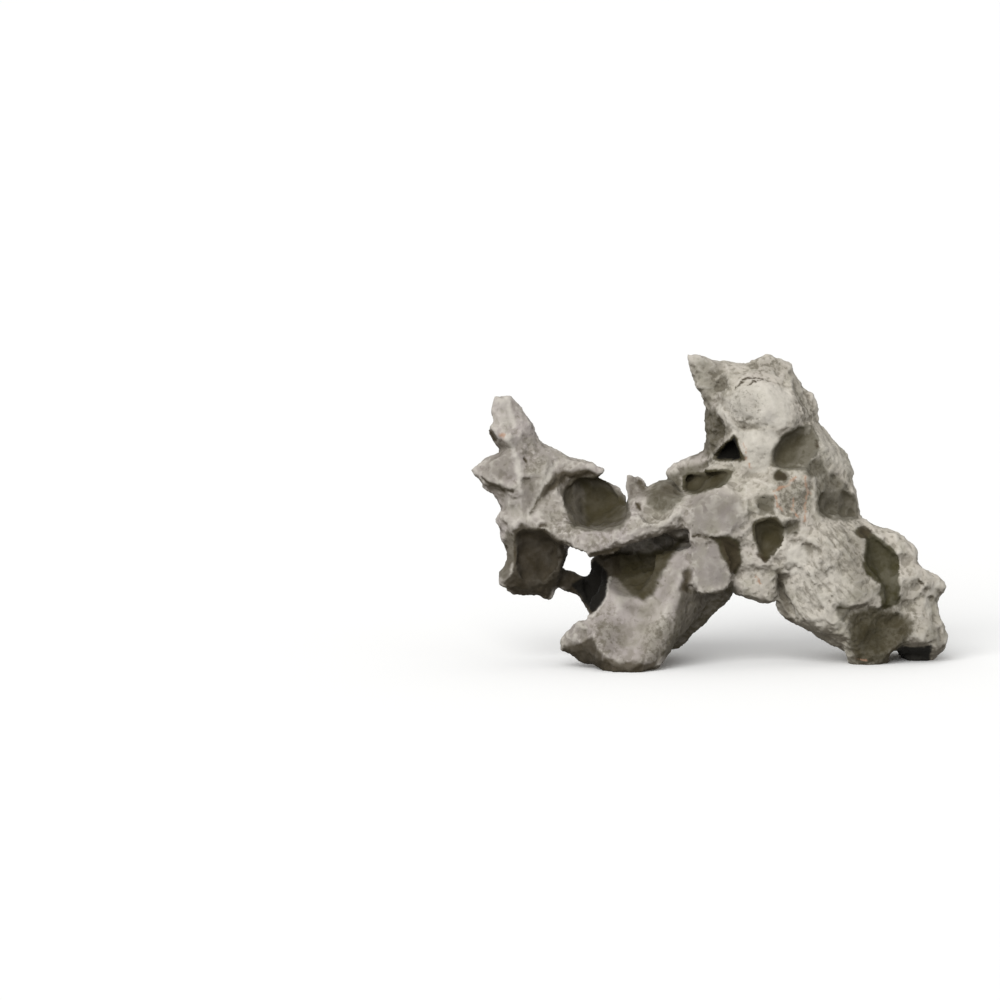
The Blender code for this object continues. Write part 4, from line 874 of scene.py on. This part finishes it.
# Weathered karst limestone: dense grey lime stone that rain has etched. It has hardly any gloss, its
# open skin is bleached and gritty, and fine silt and algae stain whatever the water leaves wet.
# Its colour also holds painted shade in hollows, caves, creases and under faces that look down, and painted
# highlights on its crests and lit faces.
limestone = {
    "surface": {"Roughness": 0.92, "IOR": 1.49, "Specular IOR Level": 0.2},
    "colours": {
        "mauve": "#a09894",
        "lilac": "#8d8681",
        "cream": "#bab3a8",
        "greenGrey": "#918d7d",
        "speck": "#605b4f",
        "wrinkle": "#746e62",
        # pale stone, also the colour of painted highlights
        "paleAndHighlight": "#cac5bb",
        # dirt, and the painted shade in cups and creases
        "dirtAndCreaseShade": "#6f695d",
        "olive": "#37331b",
        # umber silt, also the colour of painted shade under ledges and on faces turned from the light
        "umberAndShade": "#3f3728",
        # painted shadow, black deep in caves
        "paintedShadow": "#0c0b08",
        # painted shade on faces that look down
        "below": "#564e40",
        "rust": "#a8826a",
    },
    "creamFrom": (-30.0, 20.0),  # the left of the stone is mauve and the right is cream,
    "creamDrift": 120.0,         # and broad grain moves the change to and fro in this range
    # Noises: size in millimetres, detail, roughness. Real lime grit is finer than a picture shows, so the
    # finest here is drawn as coarse as can be seen.
    "grain": {
        "broad": (34.0, 3, 0.55),
        "clouded": (13.0, 5, 0.62),
        "mottled": (7.0, 5, 0.6),
        "fine": (2.2, 6, 0.66),
        "pitting": (1.6, 4, 0.7),
        "grit": (0.9, 3, 0.6),
        "rills": (2.0, 5, 0.6),
    },
    # How grain breaks a coat up: the noise, the values where the coat is least and most, and those shares.
    "breaks": {
        "patchy": ("mottled", 0.3, 0.66, 1.0, 0.84),
        "speckled": ("fine", 0.44, 0.6, 0.0, 1.0),
        "frayed": ("fine", 0.35, 0.55, 0.3, 1.0),
        "pricked": ("pitting", 0.53, 0.66, 0.0, 1.0),
        "rilled": ("rills", 0.46, 0.68, 0.0, 1.0),
    },
    # Coats one over another: colour, what it follows, the values where it starts and is full, its strength
    # there, and how grain breaks it up, if it does.
    "coats": [
        ("lilac", "mauve", 0, 1, 1.0, None),
        ("greenGrey", "mottled", 0.36, 0.78, 0.58, None),
        ("greenGrey", "broad", 0.42, 0.7, 0.45, None),
        ("dirtAndCreaseShade", "clouded", 0.46, 0.8, 0.48, None),
        ("speck", "fine", 0.55, 0.72, 0.42, None),
        # painted shade in cups and creases, and a painted highlight on crests
        ("dirtAndCreaseShade", "cup", 0.44, 0.0, 0.25, None),
        ("dirtAndCreaseShade", "edge", 0.44, 0.2, 0.5, None),
        ("paleAndHighlight", "edge", 0.58, 1.0, 0.4, None),
        # pale stone and painted highlights from the marks
        ("paleAndHighlight", "paleAndHighlight", 0, 1, 0.55, None),
        ("wrinkle", "wrinkled", 0, 1, 0.6, "pricked"),
        ("dirtAndCreaseShade", "mottle", 0, 1, 0.7, "speckled"),
        ("dirtAndCreaseShade", "streaked", 0, 1, 0.7, "rilled"),
        # painted shade on faces that look down
        ("below", "below", 0, 1, 0.8, None),
        ("olive", "olive", 0, 1, 1.0, "patchy"),
        # umber silt and the painted shade that it carries
        ("umberAndShade", "umberAndShade", 0, 1, 1.0, "patchy"),
        # painted shadow deep in caves
        ("paintedShadow", "paintedShadow", 0, 1, 0.95, None),
        ("rust", "rust", 0, 1, 0.8, "frayed"),
    ],
    # Height of the grain that light catches: the noise, its height in millimetres, and where it lies.
    "bumps": [
        ("fine", 0.27, "everywhere"),
        ("grit", 0.14, "everywhere"),
        ("rills", 0.36, "streaked"),
        ("pitting", -0.4, "wrinkled"),
    ],
    "calm": 0.3,  # share of the bumps that is left under olive and umber silt and the painted shade that they carry
}


def makeLimestone():
    colours = {name: hexColour(text) for name, text in limestone["colours"].items()}
    material, tree, shader = startMaterial("weathered karst limestone", limestone["surface"])
    fields = {}
    for name, parts in stoneLayers.items():
        layer = addNode(tree, "Attribute", {}, attribute_name=name)
        split = addNode(tree, "SeparateColor", {"Color": layer["Color"]})
        fields.update(zip(parts, (*split, layer["Alpha"])))
    place = addNode(tree, "TexCoord", {})["Object"]
    turn = (0, radians(stoneSettings["rillTurn"]), 0)
    stretched = {"Vector": place, "Rotation": turn, "Scale": (1, 1, stoneSettings["rillStretch"])}
    slant = addNode(tree, "Mapping", stretched, vector_type="TEXTURE")[0]
    for name, (size, detail, roughness) in limestone["grain"].items():
        vector = slant if name == "rills" else place
        values = {"Vector": vector, "Scale": 1 / (size * mm), "Detail": detail, "Roughness": roughness}
        fields[name] = addNode(tree, "TexNoise", values)["Fac"]
    across = addNode(tree, "SeparateXYZ", {"Vector": place})[0]
    drift = limestone["creamDrift"] * mm
    drift = {0: fields["broad"], 1: drift, 2: -drift / 2}
    drift = addNode(tree, "Math", drift, operation="MULTIPLY_ADD")[0]
    across = addNode(tree, "Math", {0: across, 1: drift}, operation="ADD")[0]
    low, high = (value * mm for value in limestone["creamFrom"])
    share = addNode(tree, "MapRange", {"Value": across, "From Min": low, "From Max": high})[0]
    mixed = {0: share, 6: colours["mauve"], 7: colours["cream"]}
    colour = addNode(tree, "Mix", mixed, data_type="RGBA")[2]
    for name, source, low, high, strength, broken in limestone["coats"]:
        ramp = {"Value": fields[source], "From Min": low, "From Max": high, "To Max": strength}
        share = addNode(tree, "MapRange", ramp, interpolation_type="SMOOTHSTEP")[0]
        if broken:
            grain, low, high, least, most = limestone["breaks"][broken]
            ramp = {"Value": fields[grain], "From Min": low, "From Max": high}
            ramp |= {"To Min": least, "To Max": most}
            gap = addNode(tree, "MapRange", ramp, interpolation_type="SMOOTHSTEP")[0]
            share = addNode(tree, "Math", {0: share, 1: gap}, operation="MULTIPLY")[0]
        colour = addNode(tree, "Mix", {0: share, 6: colour, 7: colours[name]}, data_type="RGBA")[2]
    tree.links.new(colour, shader.inputs["Base Color"])

    fields["everywhere"] = 1.0
    height = 0.0
    for name, tall, where in limestone["bumps"]:
        part = addNode(tree, "Math", {0: fields[name], 1: tall * mm}, operation="MULTIPLY")[0]
        part = {0: part, 1: fields[where], 2: height}
        height = addNode(tree, "Math", part, operation="MULTIPLY_ADD")[0]
    siltAndShade = addNode(tree, "Math", {0: fields["olive"], 1: fields["umberAndShade"]}, operation="ADD")[0]
    ramp = {"Value": siltAndShade, "To Min": 1.0, "To Max": limestone["calm"]}
    calm = addNode(tree, "MapRange", ramp)[0]
    height = addNode(tree, "Math", {0: height, 1: calm}, operation="MULTIPLY")[0]
    bump = addNode(tree, "Bump", {"Height": height, "Distance": 1.0})
    tree.links.new(bump["Normal"], shader.inputs["Normal"])
    return material


stone.data.materials.clear()
stone.data.materials.append(makeLimestone())
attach(stone, "root")
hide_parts("rock")
print("stone: material made")

# The studio: a pale matt floor, one very wide light from above the camera, and a soft room round it.
studio = {
    "floorSize": 80.0,       # metres
    "floorColour": "#fefefd",
    "floorSurface": {"Roughness": 0.95, "Specular IOR Level": 0.1},
    "keyTurn": -22.0,        # degrees round from the camera, positive to the right
    "keyLift": 31.0,
    "keySpread": 50.0,
    "keyStrength": 2.6,
    "roomBelow": 0.42,       # how bright the room is under, level with and over the stone
    "roomLevel": 0.52,
    "roomAbove": 0.66,
    "viewDistance": 2.5,     # metres
    "millimetresPerPixel": 0.4237,
    "originPixel": (709, 661),
    "framePixels": 1000,
}


def makeFloor():
    bpy.ops.object.select_all(action="DESELECT")
    bpy.ops.mesh.primitive_plane_add(size=studio["floorSize"])
    floor = bpy.context.object
    floor.name = "studioFloor"
    colour = hexColour(studio["floorColour"])
    paint = startMaterial("matt white paint", {"Base Color": colour, **studio["floorSurface"]})[0]
    floor.data.materials.append(paint)
    floor.visible_diffuse = False  # its glow would wash out the dark undersides
    floor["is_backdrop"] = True


def makeLight():
    towards = sightAxes(studio["keyTurn"], studio["keyLift"])[2]
    bpy.ops.object.light_add(type="SUN", location=towards)
    key = bpy.context.object
    key.name = "wideKeyLight"
    key.rotation_euler = (-towards).to_track_quat("-Z", "Y").to_euler()
    key.data.energy = studio["keyStrength"]
    key.data.angle = radians(studio["keySpread"])
    room = bpy.data.worlds.new("softRoom")
    room.use_nodes = True
    tree = room.node_tree
    direction = addNode(tree, "TexCoord", {})["Generated"]
    height = addNode(tree, "SeparateXYZ", {"Vector": direction})[2]
    glow = 0.0
    for low, high, least, most in (
        (-0.25, 0.0, studio["roomBelow"], studio["roomLevel"]),
        (0.0, 1.0, 0.0, studio["roomAbove"] - studio["roomLevel"]),
    ):
        ramp = {"Value": height, "From Min": low, "From Max": high, "To Min": least, "To Max": most}
        part = addNode(tree, "MapRange", ramp)[0]
        glow = addNode(tree, "Math", {0: part, 1: glow}, operation="ADD")[0]
    tree.links.new(glow, tree.nodes["Background"].inputs["Strength"])
    tree.nodes["Background"].inputs["Color"].default_value = (1, 1, 1, 1)
    bpy.context.scene.world = room
    bpy.context.scene.view_settings.view_transform = "Standard"


def makeCamera():
    perPixel = studio["millimetresPerPixel"] * mm
    half = studio["framePixels"] / 2
    originX, originY = studio["originPixel"]
    midX, midY = stoneSettings["middle"]
    rise = (originY - half) * perPixel / cos(radians(frontSight[1]))
    target = Vector(((half - originX) * perPixel - midX * mm, -midY * mm, rise))
    towards = sightAxes(*frontSight)[2]
    bpy.ops.object.camera_add(location=target + towards * studio["viewDistance"])
    camera = bpy.context.object
    camera.rotation_euler = (-towards).to_track_quat("-Z", "Y").to_euler()
    camera.data.sensor_width = 36
    camera.data.lens = camera.data.sensor_width / 2 / (half * perPixel / studio["viewDistance"])
    camera.data.clip_end = 100
    bpy.context.scene.camera = camera


makeFloor()
makeLight()
makeCamera()
print("studio: floor, light and camera in place")

boxes = {"cad": cadBox, "visual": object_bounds()}
{name: [list(corner) for corner in box] for name, box in boxes.items()}
